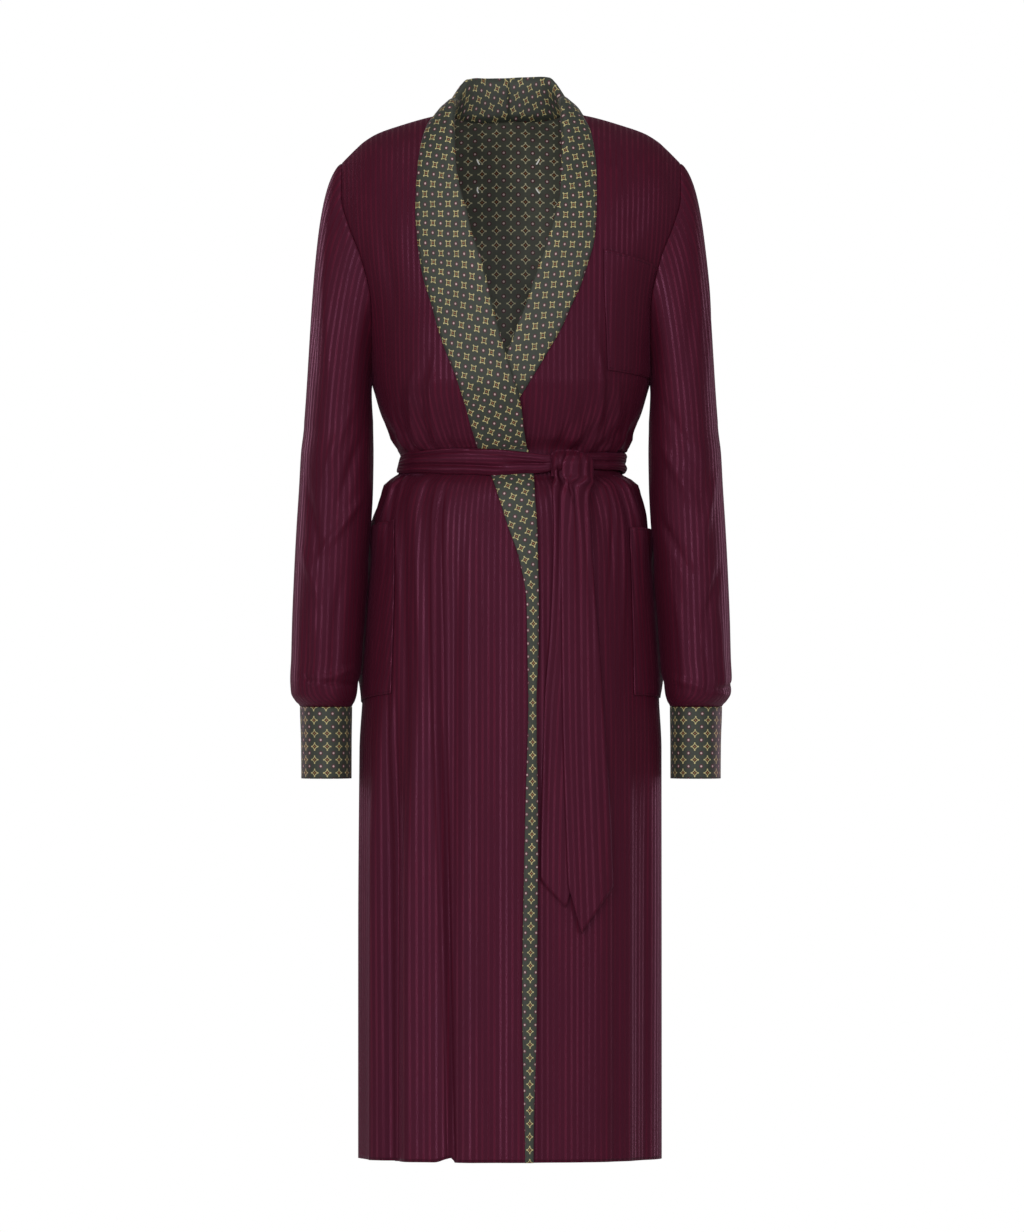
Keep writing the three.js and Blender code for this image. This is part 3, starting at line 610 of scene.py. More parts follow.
class Figure:
    """The hollow form that the coat keeps: sections by level, and a yoke that closes over."""

    # Gathers above and below the belt: how many go round, how tall they are, how unevenly they
    # are spaced, over how many levels they rise, and from the belt to where they run out
    GATHER_COUNT = 26
    GATHER_HEIGHT = 2.2
    GATHER_UNEVEN = 3
    GATHER_RISE = 14
    BLOUSE = (-361, -323)
    SKIRT = (-389, -482)
    # The smooth wrap front: its middle, and the degrees from it that are plain and that are free
    WRAP_MIDDLE = -10
    WRAP_PLAIN = 26
    WRAP_FREE = 42
    # Fullness at both sides below and above the belt. A pair gives the levels where it is gone
    # and where it is full.
    FULL_BELOW = 4.5
    BELOW_STARTS = (-382, -388.5)
    BELOW_ENDS = (-412, -396)
    FULL_ABOVE = 9.5
    ABOVE_STARTS = (-369, -362)
    ABOVE_ENDS = (-340, -359)
    ABOVE_RIGHT = 0.45  # the share of it that the wearer's right has
    # Fullness behind the arms, which swells below its start and grows on slowly to its end
    FULL_BEHIND = 8
    BEHIND_ANGLE = 107
    BEHIND_WIDTH = 13
    BEHIND_STARTS = (-442, -418)  # on the wearer's left and right
    BEHIND_SWELLS = 24
    BEHIND_GROWS = 320
    BEHIND_ENDS = (-642, -606)
    # The hem's rise towards the fold over the under front's edge, and its step down again
    NOTCH_FROM = -84
    NOTCH_TO = -64
    NOTCH_STEP = 2.5
    NOTCH_RISE = 5
    NOTCH_TALL = 40
    CREASE_RADIUS = 150
    TURN = 0.01  # the angle, in radians, over which a normal is taken
    ROUNDS = 20  # of finding where a line crosses the yoke's rows
    ARC_STEPS = 120  # from the middle of one half to the middle of the other

    def __init__(self) -> None:
        """Reads the tables of the form."""
        self.half = Track(BODY, "level", "half")
        self.front = Track(BODY, "level", "front")
        self.back = Track(BODY, "level", "back")
        self.ridge = Track(RIDGE, "across", "height")
        self.armhole = Track(ARMHOLE, "rise", "across")
        self.seam = Track(SIDE_SEAM, "level", "angle")
        self.creases = [
            CreaseField(self.CREASE_RADIUS, self.by_angle(FRONT_CREASES, Half.FRONT)),
            CreaseField(self.CREASE_RADIUS, self.by_angle(BACK_CREASES, Half.BACK)),
        ]

    def by_angle(self, rows: dict[str, np.ndarray], half: Half) -> dict[str, np.ndarray]:
        """A table of creases with its places turned into degrees round the figure."""
        turned = dict(rows)
        for x, z in (("x", "z"), ("to_x", "to_z")):
            theta, _ = self.at(rows[x], rows[z], half)
            turned[x] = theta / DEGREE
        return turned

    def gathers(self, degrees: np.ndarray, level: np.ndarray) -> np.ndarray:
        """How far the gathers above and below the belt stand out."""
        share = np.zeros_like(level)
        for start, end in (self.SKIRT, self.BLOUSE):
            full = start + math.copysign(self.GATHER_RISE, end - start)
            share = np.maximum(share, smoothstep(start, full, level) * (1 - smoothstep(full, end, level)))
        clear = smoothstep(self.WRAP_PLAIN, self.WRAP_FREE, np.abs(apart(degrees, self.WRAP_MIDDLE)))
        theta = degrees * DEGREE
        wave = np.cos(self.GATHER_COUNT * theta + np.sin(self.GATHER_UNEVEN * theta))
        return self.GATHER_HEIGHT * wave * clear * share

    def folds(self, theta: np.ndarray, level: np.ndarray) -> np.ndarray:
        """How far folds and gathers stand out from the plain section."""
        degrees = theta / DEGREE
        height = np.zeros_like(level)
        for angle, tall, width, start, full in zip(*FOLDS.values()):
            away = apart(degrees, angle) / width
            height += tall * np.exp(-(away**2)) * smoothstep(start, full, level)
        return np.where(level > ARMPIT_Z, 0, height + self.gathers(degrees, level))

    def yoke_level(self, rise: np.ndarray, half: Half) -> np.ndarray:
        """The level that is a share of the way up the yoke."""
        rounding = FRONT_YOKE_ROUND if half is Half.FRONT else BACK_YOKE_ROUND
        return ARMPIT_Z + YOKE_TURN * np.arcsin(np.minimum(1, np.maximum(0, rise) ** (rounding / 2)))

    def point(self, theta: np.ndarray, level: np.ndarray, folded: bool = True) -> np.ndarray:
        """Points of the outer face.

        Args:
            theta: Angles round from the middle of the front.
            level: Levels, which run on past the armpit to 0 at the shoulder ridge.
            folded: Whether folds and gathers are in.

        Returns:
            One point for each angle and level.
        """
        theta, level = np.broadcast_arrays(np.asarray(theta, float), np.asarray(level, float))
        ahead = np.cos(theta) >= 0
        rounding = np.where(ahead, FRONT_YOKE_ROUND, BACK_YOKE_ROUND)
        turn = np.maximum(0, (level - ARMPIT_Z) / YOKE_TURN)
        rise = np.sin(turn) ** (2 / rounding)
        closing = signed_power(np.cos(turn), 2 / rounding)
        in_yoke = level > ARMPIT_Z
        nominal = np.where(in_yoke, ARMPIT_Z * (1 - rise), level)
        depth = np.where(ahead, self.front(nominal), self.back(nominal))
        aside = np.abs(np.sin(theta) / self.half(nominal)) ** BODY_ROUND
        forth = np.abs(np.cos(theta) / depth) ** BODY_ROUND
        radius = (aside + forth) ** (-1 / BODY_ROUND)
        if folded:
            radius = radius + self.folds(theta, level)
        x = radius * np.sin(theta)
        climbed = ARMPIT_Z + (self.ridge(np.abs(x)) - ARMPIT_Z) * rise
        return np.stack([x, -radius * np.cos(theta) * closing, np.where(in_yoke, climbed, level)], -1)

    def normal(self, theta: np.ndarray, level: np.ndarray) -> np.ndarray:
        """Outward unit normals of the outer face."""
        across = self.point(theta + self.TURN, level) - self.point(theta - self.TURN, level)
        up = self.point(theta, level + 1) - self.point(theta, level - 1)
        return unit(np.cross(across, up))

    def angle_of(self, x: np.ndarray, nominal: np.ndarray, half: Half) -> np.ndarray:
        """The angle at which a section reaches a distance from the middle."""
        depth = self.front(nominal) if half is Half.FRONT else self.back(nominal)
        share = np.minimum(1, np.abs(x) / self.half(nominal))
        y = depth * (1 - share**BODY_ROUND) ** (1 / BODY_ROUND)
        return np.arctan2(x, half.value * y)

    def at(self, x: np.ndarray, z: np.ndarray, half: Half) -> tuple[np.ndarray, np.ndarray]:
        """The angles and levels of places seen straight from the front or back."""
        x, z = np.broadcast_arrays(np.asarray(x, float), np.asarray(z, float))
        rise = np.clip((z - ARMPIT_Z) / (self.ridge(np.abs(x)) - ARMPIT_Z), 0, 1)
        in_yoke = z > ARMPIT_Z
        nominal = np.where(in_yoke, ARMPIT_Z * (1 - rise), z)
        level = np.where(in_yoke, self.yoke_level(rise, half), z)
        return self.angle_of(x, nominal, half), level

    def rows(self, half: Half, bottom: float, below: int, yoke: int) -> Rows:
        """Rows from a level up to the shoulder ridge.

        Args:
            half: The half of the coat.
            bottom: The lowest row's level.
            below: How many spaces there are up to the armpit.
            yoke: How many rows climb the yoke.

        Returns:
            The rows from the lowest up.
        """
        flat = np.linspace(bottom, ARMPIT_Z, below + 1)
        rise = (1 - np.cos(np.pi * np.arange(1, yoke + 1) / yoke)) / 2
        return Rows(
            np.concatenate([flat, self.yoke_level(rise, half)]),
            np.concatenate([np.zeros(below + 1), rise]),
            np.concatenate([flat, ARMPIT_Z * (1 - rise)]),
        )

    def line_angle(self, line: Track, rows: Rows, half: Half) -> np.ndarray:
        """Where a line given by height crosses each row."""
        x = line(rows.level)
        for _ in range(self.ROUNDS):
            height = ARMPIT_Z + (self.ridge(np.abs(x)) - ARMPIT_Z) * rows.rise
            x = np.where(rows.rise > 0, line(height), x)
        return self.angle_of(x, rows.nominal, half)

    def side_angle(self, rows: Rows, side: Side, half: Half) -> np.ndarray:
        """Where the side seam or the armhole crosses each row."""
        armhole = self.angle_of(side.value * self.armhole(rows.rise), rows.nominal, half)
        seam = side.value * self.seam(rows.level) * DEGREE
        if half is Half.BACK:
            seam = np.where(seam > 0, seam, seam + 2 * np.pi)
        return np.where(rows.rise > 0, armhole, seam)

    def arc(self, theta: np.ndarray, level: np.ndarray, half: Half) -> np.ndarray:
        """Millimetres of plain cloth round from the middle of the front or back.

        Args:
            theta: A grid of angles.
            level: The level of each row.
            half: The half whose middle the length is taken from.

        Returns:
            Signed lengths, a grid like theta.
        """
        steps = np.linspace(0, np.pi, self.ARC_STEPS + 1)
        side = self.ARC_STEPS // 2
        dense = steps
        if half is Half.BACK:
            theta = np.pi - theta
            dense = np.pi - dense
        lengths = run(self.point(dense[None, :], level[:, None], folded=False), axis=1)
        hips = run(self.point(dense[None, :], np.array([[self.SKIRT[1]]]), folded=False), axis=1)
        gathered = np.maximum(1, hips[:, side] / lengths[:, side])
        lengths = lengths * np.where(level < ARMPIT_Z, gathered, 1)[:, None]
        rows = [np.interp(np.abs(t), steps, row) * np.sign(t) for t, row in zip(theta, lengths)]
        return np.array(rows)

    def crease_height(self, theta: np.ndarray, z: np.ndarray) -> np.ndarray:
        """How far the creases stand out, with the fullness by the belt and behind the arms."""
        degrees = theta / DEGREE
        height = sum(creases.height(degrees, z) for creases in self.creases)
        sides = np.sin(theta) ** 4
        below = smoothstep(*self.BELOW_STARTS, z) * smoothstep(*self.BELOW_ENDS, z)
        above = smoothstep(*self.ABOVE_STARTS, z) * smoothstep(*self.ABOVE_ENDS, z)
        left = np.sin(theta) > 0
        above = above * np.where(left, 1, self.ABOVE_RIGHT)
        height = height + sides * (self.FULL_BELOW * below + self.FULL_ABOVE * above)
        down = np.where(left, *self.BEHIND_STARTS) - z
        away = apart(np.abs(apart(degrees, 0)), self.BEHIND_ANGLE) / self.BEHIND_WIDTH
        reach = np.clip(down / self.BEHIND_SWELLS, 0, 1) * (1 + np.maximum(0, down) / self.BEHIND_GROWS)
        reach = reach * smoothstep(*self.BEHIND_ENDS, z)
        return height + self.FULL_BEHIND * np.exp(-(away**2)) * reach

    def cloth(
        self, theta: np.ndarray, level: np.ndarray, half: Half, lift: np.ndarray | float = 0.0
    ) -> Cloth:
        """Cloth that follows the figure.

        Args:
            theta: A grid of angles.
            level: A grid of levels.
            half: The half of the coat it belongs to.
            lift: How far it lies off the figure.

        Returns:
            The cloth, with its flat place along the grain.
        """
        base = self.point(theta, level)
        normals = self.normal(theta, level)
        plain = self.point(theta, level, folded=False)
        flat = np.stack(
            [self.arc(theta, level.mean(axis=1), half), run(plain, axis=0) + plain[:1, :, 2]], -1
        )
        out = lift + self.crease_height(theta, base[..., 2])
        points = base + normals * out[..., None]
        if half is Half.FRONT:
            points[..., 2] += self.notch(points)
        return Cloth(points, normals, flat)

    def edge_angles(self, lines: dict[str, np.ndarray], rows: Rows) -> list[np.ndarray]:
        """The angles of a front's folded edge and of its collar's outer edge, as columns."""
        lines_of = (Track(lines, "height", key) for key in ("roll", "outer"))
        return [self.line_angle(line, rows, Half.FRONT)[:, None] for line in lines_of]

    def lap(self, theta: np.ndarray, level: np.ndarray, side: Side) -> np.ndarray | float:
        """How far a place of a front is lifted clear of what it laps over."""
        if side is Side.LEFT:
            return 0.0
        base = self.point(theta, level)
        return wrap_lift(base[..., 0], base[..., 2])

    def notch(self, points: np.ndarray) -> np.ndarray:
        """How far the hem rises towards the fold over the under front's edge."""
        x, z = points[..., 0], points[..., 2]
        slope = smoothstep(self.NOTCH_FROM, self.NOTCH_TO, x)
        slope = slope * smoothstep(self.NOTCH_TO + self.NOTCH_STEP, self.NOTCH_TO, x)
        return self.NOTCH_RISE * slope * smoothstep(HEM_Z + self.NOTCH_TALL, HEM_Z, z)


def wrap_lift(x: np.ndarray, z: np.ndarray) -> np.ndarray:
    """How far the over front is lifted clear of what it laps over."""
    return WRAP_LIFT * (1 - smoothstep(*LIFT_ACROSS, x)) * smoothstep(*LIFT_DOWN, z)


@dataclass(frozen=True)
class Edges:
    """Which edges of a grid are sewn down with a line of stitches."""

    bottom: bool = False
    top: bool = False
    first: bool = False
    last: bool = False

    def distance(self, flat: np.ndarray) -> np.ndarray:
        """Millimetres from each point to its nearest stitched edge."""
        up = run(flat, axis=0)
        across = run(flat, axis=1)
        near = np.full(flat.shape[:2], 1000.0)
        for wanted, away in (
            (self.bottom, up),
            (self.top, up[-1:] - up),
            (self.first, across),
            (self.last, across[:, -1:] - across),
        ):
            if wanted:
                near = np.minimum(near, away)
        return near


def cloth_object(name: str, cloth: Cloth, edges: Edges = Edges(), around: bool = False) -> bpy.types.Object:
    """A mesh of one layer of cloth with its flat place as a UV map.

    Args:
        name: The piece's name.
        cloth: Its grid.
        edges: Its stitched edges.
        around: Whether the last column is the first again.

    Returns:
        The object, with no thickness yet.
    """
    rows, columns = cloth.points.shape[:2]
    bm = bmesh.new()
    last_row, last = rows - 1, columns - 1
    bmesh.ops.create_grid(bm, x_segments=last, y_segments=last_row, size=0.5)
    cells = [(round((v.co.y + 0.5) * last_row), round((v.co.x + 0.5) * last)) for v in bm.verts]
    for vert, (i, j) in zip(bm.verts, cells):
        vert.co = Vector(cloth.points[i, j] * MM)
    bm.verts.index_update()
    flat_map = bm.loops.layers.uv.new("Cloth")
    edge_map = bm.loops.layers.uv.new("Edge")
    near = edges.distance(cloth.flat) * MM
    flat = cloth.flat * MM
    for face in bm.faces:
        face.smooth = True
        for loop in face.loops:
            i, j = cells[loop.vert.index]
            loop[flat_map].uv = flat[i, j]
            loop[edge_map].uv = (near[i, j], flat[i, j, 1])
    bm.normal_update()
    bm.faces.ensure_lookup_table()
    middle = bm.faces[len(bm.faces) // 2]
    i, j = cells[middle.verts[0].index]
    if middle.normal.dot(Vector(cloth.normals[i, j])) < 0:
        bmesh.ops.reverse_faces(bm, faces=bm.faces[:])
    if around:
        seam = [v for v, (_, j) in zip(bm.verts, cells) if j in (0, last)]
        bmesh.ops.remove_doubles(bm, verts=seam, dist=1e-7)
    mesh = bpy.data.meshes.new(name)
    bm.to_mesh(mesh)
    bm.free()
    return linked(name, mesh)


def thicken(piece: bpy.types.Object, thickness: float) -> None:
    """Gives a piece its thickness, inwards from its outer face."""
    solid = piece.modifiers.new("thickness", "SOLIDIFY")
    solid.thickness = thickness * MM
    solid.offset = -1
    solid.use_rim = True


class Graph:
    """Nodes of one material, with short calls for what the finishes need."""

    def __init__(self, name: str) -> None:
        """Starts a material with a shader.

        Args:
            name: The material's name.
        """
        self.material = bpy.data.materials.new(name)
        self.material.use_nodes = True
        self.tree = self.material.node_tree
        self.shader = self.tree.nodes["Principled BSDF"]

    def settle(self, values: dict[str, object]) -> None:
        """Sets plain inputs of the shader by name."""
        for name, value in values.items():
            self.shader.inputs[name].default_value = value

    def put(self, socket: bpy.types.NodeSocket, value: object) -> None:
        """Links a socket to another, or sets its value."""
        if isinstance(value, bpy.types.NodeSocket):
            self.tree.links.new(value, socket)
        else:
            socket.default_value = value

    def math(self, operation: str, *values: object) -> bpy.types.NodeSocket:
        """A Math node's result."""
        node = self.tree.nodes.new("ShaderNodeMath")
        node.operation = operation
        for socket, value in zip(node.inputs, values):
            self.put(socket, value)
        return node.outputs[0]

    def step(self, value: object, start: float, end: float) -> bpy.types.NodeSocket:
        """A soft step from 0 at start to 1 at end."""
        node = self.tree.nodes.new("ShaderNodeMapRange")
        node.interpolation_type = "SMOOTHSTEP"
        low, high = min(start, end), max(start, end)
        results = (0.0, 1.0) if start < end else (1.0, 0.0)
        for socket, number in zip(node.inputs, (value, low, high, *results)):
            self.put(socket, number)
        return node.outputs[0]

    def mix(self, share: object, one: object, other: object) -> bpy.types.NodeSocket:
        """A colour between two colours."""
        node = self.tree.nodes.new("ShaderNodeMix")
        node.data_type = "RGBA"
        self.put(node.inputs[0], share)
        self.put(node.inputs[6], one)
        self.put(node.inputs[7], other)
        return node.outputs[2]

    def uv(self, name: str) -> tuple[bpy.types.NodeSocket, bpy.types.NodeSocket]:
        """Both coordinates of a UV map, in metres."""
        node = self.tree.nodes.new("ShaderNodeUVMap")
        node.uv_map = name
        parts = self.tree.nodes.new("ShaderNodeSeparateXYZ")
        self.tree.links.new(node.outputs[0], parts.inputs[0])
        return parts.outputs[0], parts.outputs[1]

    def noise(self, size: float, detail: float, tall: float = 1.0) -> bpy.types.NodeSocket:
        """Noise over the object, whose lumps are about size metres and so many times as tall."""
        place = self.tree.nodes.new("ShaderNodeTexCoord")
        shape = self.tree.nodes.new("ShaderNodeMapping")
        shape.inputs["Scale"].default_value = (1, 1, 1 / tall)
        node = self.tree.nodes.new("ShaderNodeTexNoise")
        self.tree.links.new(place.outputs["Object"], shape.inputs["Vector"])
        self.tree.links.new(shape.outputs[0], node.inputs["Vector"])
        node.inputs["Scale"].default_value = 1 / size
        node.inputs["Detail"].default_value = detail
        return node.outputs["Fac"]

    def bump(self, height: object, strength: float, distance: float) -> None:
        """Gives the shader relief from a height in distance metres."""
        node = self.tree.nodes.new("ShaderNodeBump")
        node.inputs["Strength"].default_value = strength
        node.inputs["Distance"].default_value = distance
        self.put(node.inputs["Height"], height)
        self.tree.links.new(node.outputs[0], self.shader.inputs["Normal"])

    def wave(self, place: object, pitch: float) -> bpy.types.NodeSocket:
        """A wave from -1 to 1 along one coordinate."""
        return self.math("SINE", self.math("MULTIPLY", place, 2 * math.pi / pitch))

    def stitches(self, near: object, along: object, inset: float, pitch: float) -> bpy.types.NodeSocket:
        """A mask of small stitches in a line beside an edge."""
        off = self.math("ABSOLUTE", self.math("SUBTRACT", near, inset))
        line = self.step(off, 0.0005, 0.0002)
        dash = self.step(self.wave(along, pitch), -0.6, -0.2)
        return self.math("MULTIPLY", line, dash)


@dataclass(frozen=True)
class SatinStripe:
    """Dark red cloth with satin stripes of its own colour along the grain, the satin stripes painted lighter
    in streaks as a painted sheen.
    """

    name: str = "satin_stripe_cloth"
    matt: tuple = (0.068, 0.0064, 0.0178, 1)
    # The satin stripes' own tone, made lighter as a painted sheen; their smoother finish is real
    satin_with_sheen: tuple = (0.112, 0.0108, 0.0288, 1)
    shadow: tuple = (0.060, 0.0065, 0.0180, 1)
    stitch: tuple = (0.012, 0.002, 0.005, 1)
    stripe: float = 0.0065
    stripe_edge: tuple = (0.1, 0.85)  # where on a stripe's wave its satin starts and is full
    patch: float = 0.05  # size of the cloudy patches that are darker
    patch_share: float = 0.2
    sheen_streak: float = 0.011  # size and stretch of the painted sheen streaks, brighter lengths of the satin stripes
    sheen_streak_stretch: float = 16.0
    sheen_streak_range: tuple = (0.75, 0.4)  # how much the painted sheen streaks add, and the least painted sheen
    ripple: float = 0.015  # size and stretch of the small waves of the cloth
    ripple_stretch: float = 9.0
    stitch_share: float = 0.6
    thread: float = 0.0005
    stitch_inset: float = 0.0025
    stitch_pitch: float = 0.003
    matt_roughness: float = 0.62
    satin_roughness: float = 0.27
    limpness: float = 3.0  # how far small waves of the cloth stand out, in threads
    relief: float = 0.4
    depth: float = 0.00018

    def material(self) -> bpy.types.Material:
        """Builds the cloth's nodes."""
        g = Graph(self.name)
        u, v = g.uv("Cloth")
        near, along = g.uv("Edge")
        stripe = g.step(g.wave(u, self.stripe), *self.stripe_edge)
        shade = g.step(g.noise(self.patch, 3.0), 0.3, 0.7)
        # Painted sheen: the satin stripes are painted lighter than the matt ones, in streaks along the grain
        sheen_streaks = g.step(g.noise(self.sheen_streak, 1.5, self.sheen_streak_stretch), 0.35, 0.65)
        painted_sheen = g.math("MULTIPLY_ADD", sheen_streaks, *self.sheen_streak_range)
        colour = g.mix(g.math("MULTIPLY", stripe, painted_sheen), self.matt, self.satin_with_sheen)
        colour = g.mix(g.math("MULTIPLY", shade, self.patch_share), colour, self.shadow)
        sewn = g.stitches(near, along, self.stitch_inset, self.stitch_pitch)
        colour = g.mix(g.math("MULTIPLY", sewn, self.stitch_share), colour, self.stitch)
        g.put(g.shader.inputs["Base Color"], colour)
        smoother = self.satin_roughness - self.matt_roughness
        g.put(g.shader.inputs["Roughness"], g.math("MULTIPLY_ADD", stripe, smoother, self.matt_roughness))
        g.settle(
            {
                "Sheen Weight": 0.12,
                "Sheen Roughness": 0.35,
                "Sheen Tint": (0.62, 0.16, 0.34, 1),
                "Specular IOR Level": 0.34,
                "Specular Tint": (1, 0.42, 0.75, 1),
            }
        )
        twill = g.math("MULTIPLY", g.wave(g.math("ADD", u, v), self.thread), 0.25)
        weave = g.math("MULTIPLY_ADD", stripe, 0.5, twill)
        relief = g.math("MULTIPLY_ADD", g.step(near, 0.0012, 0.0035), 0.8, weave)
        waves = g.noise(self.ripple, 1.5, self.ripple_stretch)
        limp = g.math("MULTIPLY_ADD", waves, self.limpness, relief)
        g.bump(g.math("MULTIPLY_ADD", sewn, -1.5, limp), self.relief, self.depth)
        return g.material


@dataclass(frozen=True)
class FoulardPrint:
    """Grey-green silk with small dark lozenges edged in cream, and dots between them."""

    name: str
    pitch: float
    ground: tuple = (0.049, 0.058, 0.042, 1)
    dark: tuple = (0.042, 0.008, 0.014, 1)
    halo: tuple = (0.115, 0.012, 0.034, 1)
    cream: tuple = (0.80, 0.70, 0.32, 1)
    gold: tuple = (0.38, 0.17, 0.04, 1)
    rose: tuple = (0.80, 0.60, 0.56, 1)
    shadow: tuple = (0.02, 0.02, 0.016, 1)
    patch: float = 0.02  # size of the cloudy patches that are darker
    patch_share: float = 0.2
    stitch_share: float = 0.5
    stitch_inset: float = 0.0022
    stitch_pitch: float = 0.0028
    # Sizes as shares of a repeat. A pair gives where a mark has faded out and where it is full.
    lozenge: float = 0.275
    hollow: float = 0.86  # below 1 the lozenge's sides curve in
    lozenge_edge: tuple = (0.012, -0.008)
    core_edge: tuple = (-0.062, -0.085)
    heart: tuple = (0.075, 0.045)
    tip: tuple = (0.068, 0.045)
    tip_in: float = 0.01
    dot: float = 0.085
    halo_edge: tuple = (1.95, 1.6)
    dot_edge: tuple = (1.1, 0.7)
    thread: float = 0.0006
    relief: float = 0.4
    depth: float = 0.00015

    def centred(self, g: Graph, place: object, offset: float) -> bpy.types.NodeSocket:
        """A coordinate as its distance from the nearest repeat."""
        turns = g.math("ADD", g.math("DIVIDE", place, self.pitch), offset)
        return g.math("ABSOLUTE", g.math("SUBTRACT", g.math("FRACT", turns), 0.5))

    def radius(self, g: Graph, a: object, b: object) -> bpy.types.NodeSocket:
        """The distance from a place given by two coordinates."""
        return g.math("SQRT", g.math("ADD", g.math("MULTIPLY", a, a), g.math("MULTIPLY", b, b)))

    def material(self) -> bpy.types.Material:
        """Builds the print's nodes."""
        g = Graph(self.name)
        u, v = g.uv("Cloth")
        near, along = g.uv("Edge")
        a, b = self.centred(g, u, 0.5), self.centred(g, v, 0.5)
        curved = g.math("ADD", g.math("POWER", a, self.hollow), g.math("POWER", b, self.hollow))
        reach = g.math("POWER", curved, 1 / self.hollow)
        size = self.lozenge
        colour = self.ground
        for edge, paint in ((self.lozenge_edge, self.cream), (self.core_edge, self.dark)):
            colour = g.mix(g.step(reach, size + edge[0], size + edge[1]), colour, paint)
        colour = g.mix(g.step(self.radius(g, a, b), *self.heart), colour, self.gold)
        long_tip = self.radius(g, g.math("SUBTRACT", a, size - self.tip_in), b)
        tall_tip = self.radius(g, a, g.math("SUBTRACT", b, size - self.tip_in))
        tips = g.step(g.math("MINIMUM", long_tip, tall_tip), *self.tip)
        colour = g.mix(tips, colour, self.cream)
        c, d = self.centred(g, u, 0.0), self.centred(g, v, 0.0)
        away = self.radius(g, c, d)
        for edge, paint in ((self.halo_edge, self.halo), (self.dot_edge, self.rose)):
            colour = g.mix(g.step(away, self.dot * edge[0], self.dot * edge[1]), colour, paint)
        shade = g.math("MULTIPLY", g.step(g.noise(self.patch, 3.0), 0.3, 0.7), self.patch_share)
        colour = g.mix(shade, colour, self.shadow)
        sewn = g.stitches(near, along, self.stitch_inset, self.stitch_pitch)
        colour = g.mix(g.math("MULTIPLY", sewn, self.stitch_share), colour, self.dark)
        g.put(g.shader.inputs["Base Color"], colour)
        g.settle({"Roughness": 0.52, "Sheen Weight": 0.15, "Sheen Roughness": 0.4})
        twill = g.math("MULTIPLY", g.wave(g.math("ADD", u, v), self.thread), 0.3)
        g.bump(g.math("MULTIPLY_ADD", sewn, -1.5, twill), self.relief, self.depth)
        return g.material


@dataclass(frozen=True)
class TackThread:
    """Pale thread of the tacking stitches, with a faint painted glow."""

    name: str = "tack_thread"
    shaded: tuple = (0.90, 0.88, 0.84, 1)
    lit: tuple = (1.0, 0.98, 0.95, 1)

    def material(self) -> bpy.types.Material:
        """Builds the thread's nodes."""
        g = Graph(self.name)
        twist = g.step(g.noise(0.0006, 1.0), 0.3, 0.7)
        g.put(g.shader.inputs["Base Color"], g.mix(twist, self.shaded, self.lit))
        # Painted glow: a faint emission brightens the thread where it lies in shade inside the neck
        g.settle({"Roughness": 0.7, "Emission Color": (1, 1, 0.94, 1), "Emission Strength": 0.2})
        g.bump(twist, 0.4, 0.0002)
        return g.material


@dataclass(frozen=True)
class StudioPaper:
    """Pale paper of the floor."""

    name: str = "studio_paper"

    def material(self) -> bpy.types.Material:
        """Builds the paper's nodes."""
        g = Graph(self.name)
        mottled = g.mix(g.noise(0.4, 2.0), (0.9, 0.9, 0.9, 1), (0.94, 0.94, 0.94, 1))
        g.put(g.shader.inputs["Base Color"], mottled)
        g.settle({"Roughness": 0.9})
        return g.material


@dataclass
class Finishes:
    """The coat's materials, each made once."""

    cloth: bpy.types.Material = field(default_factory=lambda: SatinStripe().material())
    collar: bpy.types.Material = field(
        default_factory=lambda: FoulardPrint("foulard_collar", 0.0159).material()
    )
    # A brighter copy of the foulard print: its lighter colours are painted light, standing in for light that
    # barely reaches inside the back of the neck
    lining: bpy.types.Material = field(
        default_factory=lambda: FoulardPrint(
            "foulard_lining_painted_light",
            0.0163,
            ground=(0.134, 0.142, 0.108, 1),
            dark=(0.070, 0.015, 0.024, 1),
            halo=(0.13, 0.018, 0.04, 1),
            cream=(1.0, 0.94, 0.60, 1),
            rose=(1.0, 0.78, 0.74, 1),
        ).material()
    )
    cuff: bpy.types.Material = field(
        default_factory=lambda: FoulardPrint("foulard_cuff", 0.0144).material()
    )
    thread: bpy.types.Material = field(default_factory=lambda: TackThread().material())


class Slot(Enum):
    """The two kinds of cloth."""

    STRIPED = "striped_cloth"
    PRINTED = "printed_cloth"


@dataclass
class Cut:
    """The flat cut of what shows of a piece: width, length and area as a share of their product."""

    width: float
    length: float
    share: float = 1.0
    held: str = "hung"
    rests_on: tuple = ()


class Sewn:
    """Dresses a piece and logs its name and its faces."""

    @staticmethod
    def dress(
        piece: bpy.types.Object,
        material: bpy.types.Material,
        slot: Slot,
        node: str,
        cut: Cut,
        with_pieces: tuple = (),
    ) -> None:
        """Gives a piece its finish and its place in the frame.

        Args:
            piece: The piece.
            material: Its finish.
            slot: The kind of cloth; not used.
            node: The CAD node that it stands for.
            cut: Its flat cut in metres; not used.
            with_pieces: Small pieces that are sewn on it; not used.
        """
        piece.data.materials.append(material)
        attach(piece, "root")
        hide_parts(node)
        LOG.info("%s: %d faces", piece.name, len(piece.data.polygons))


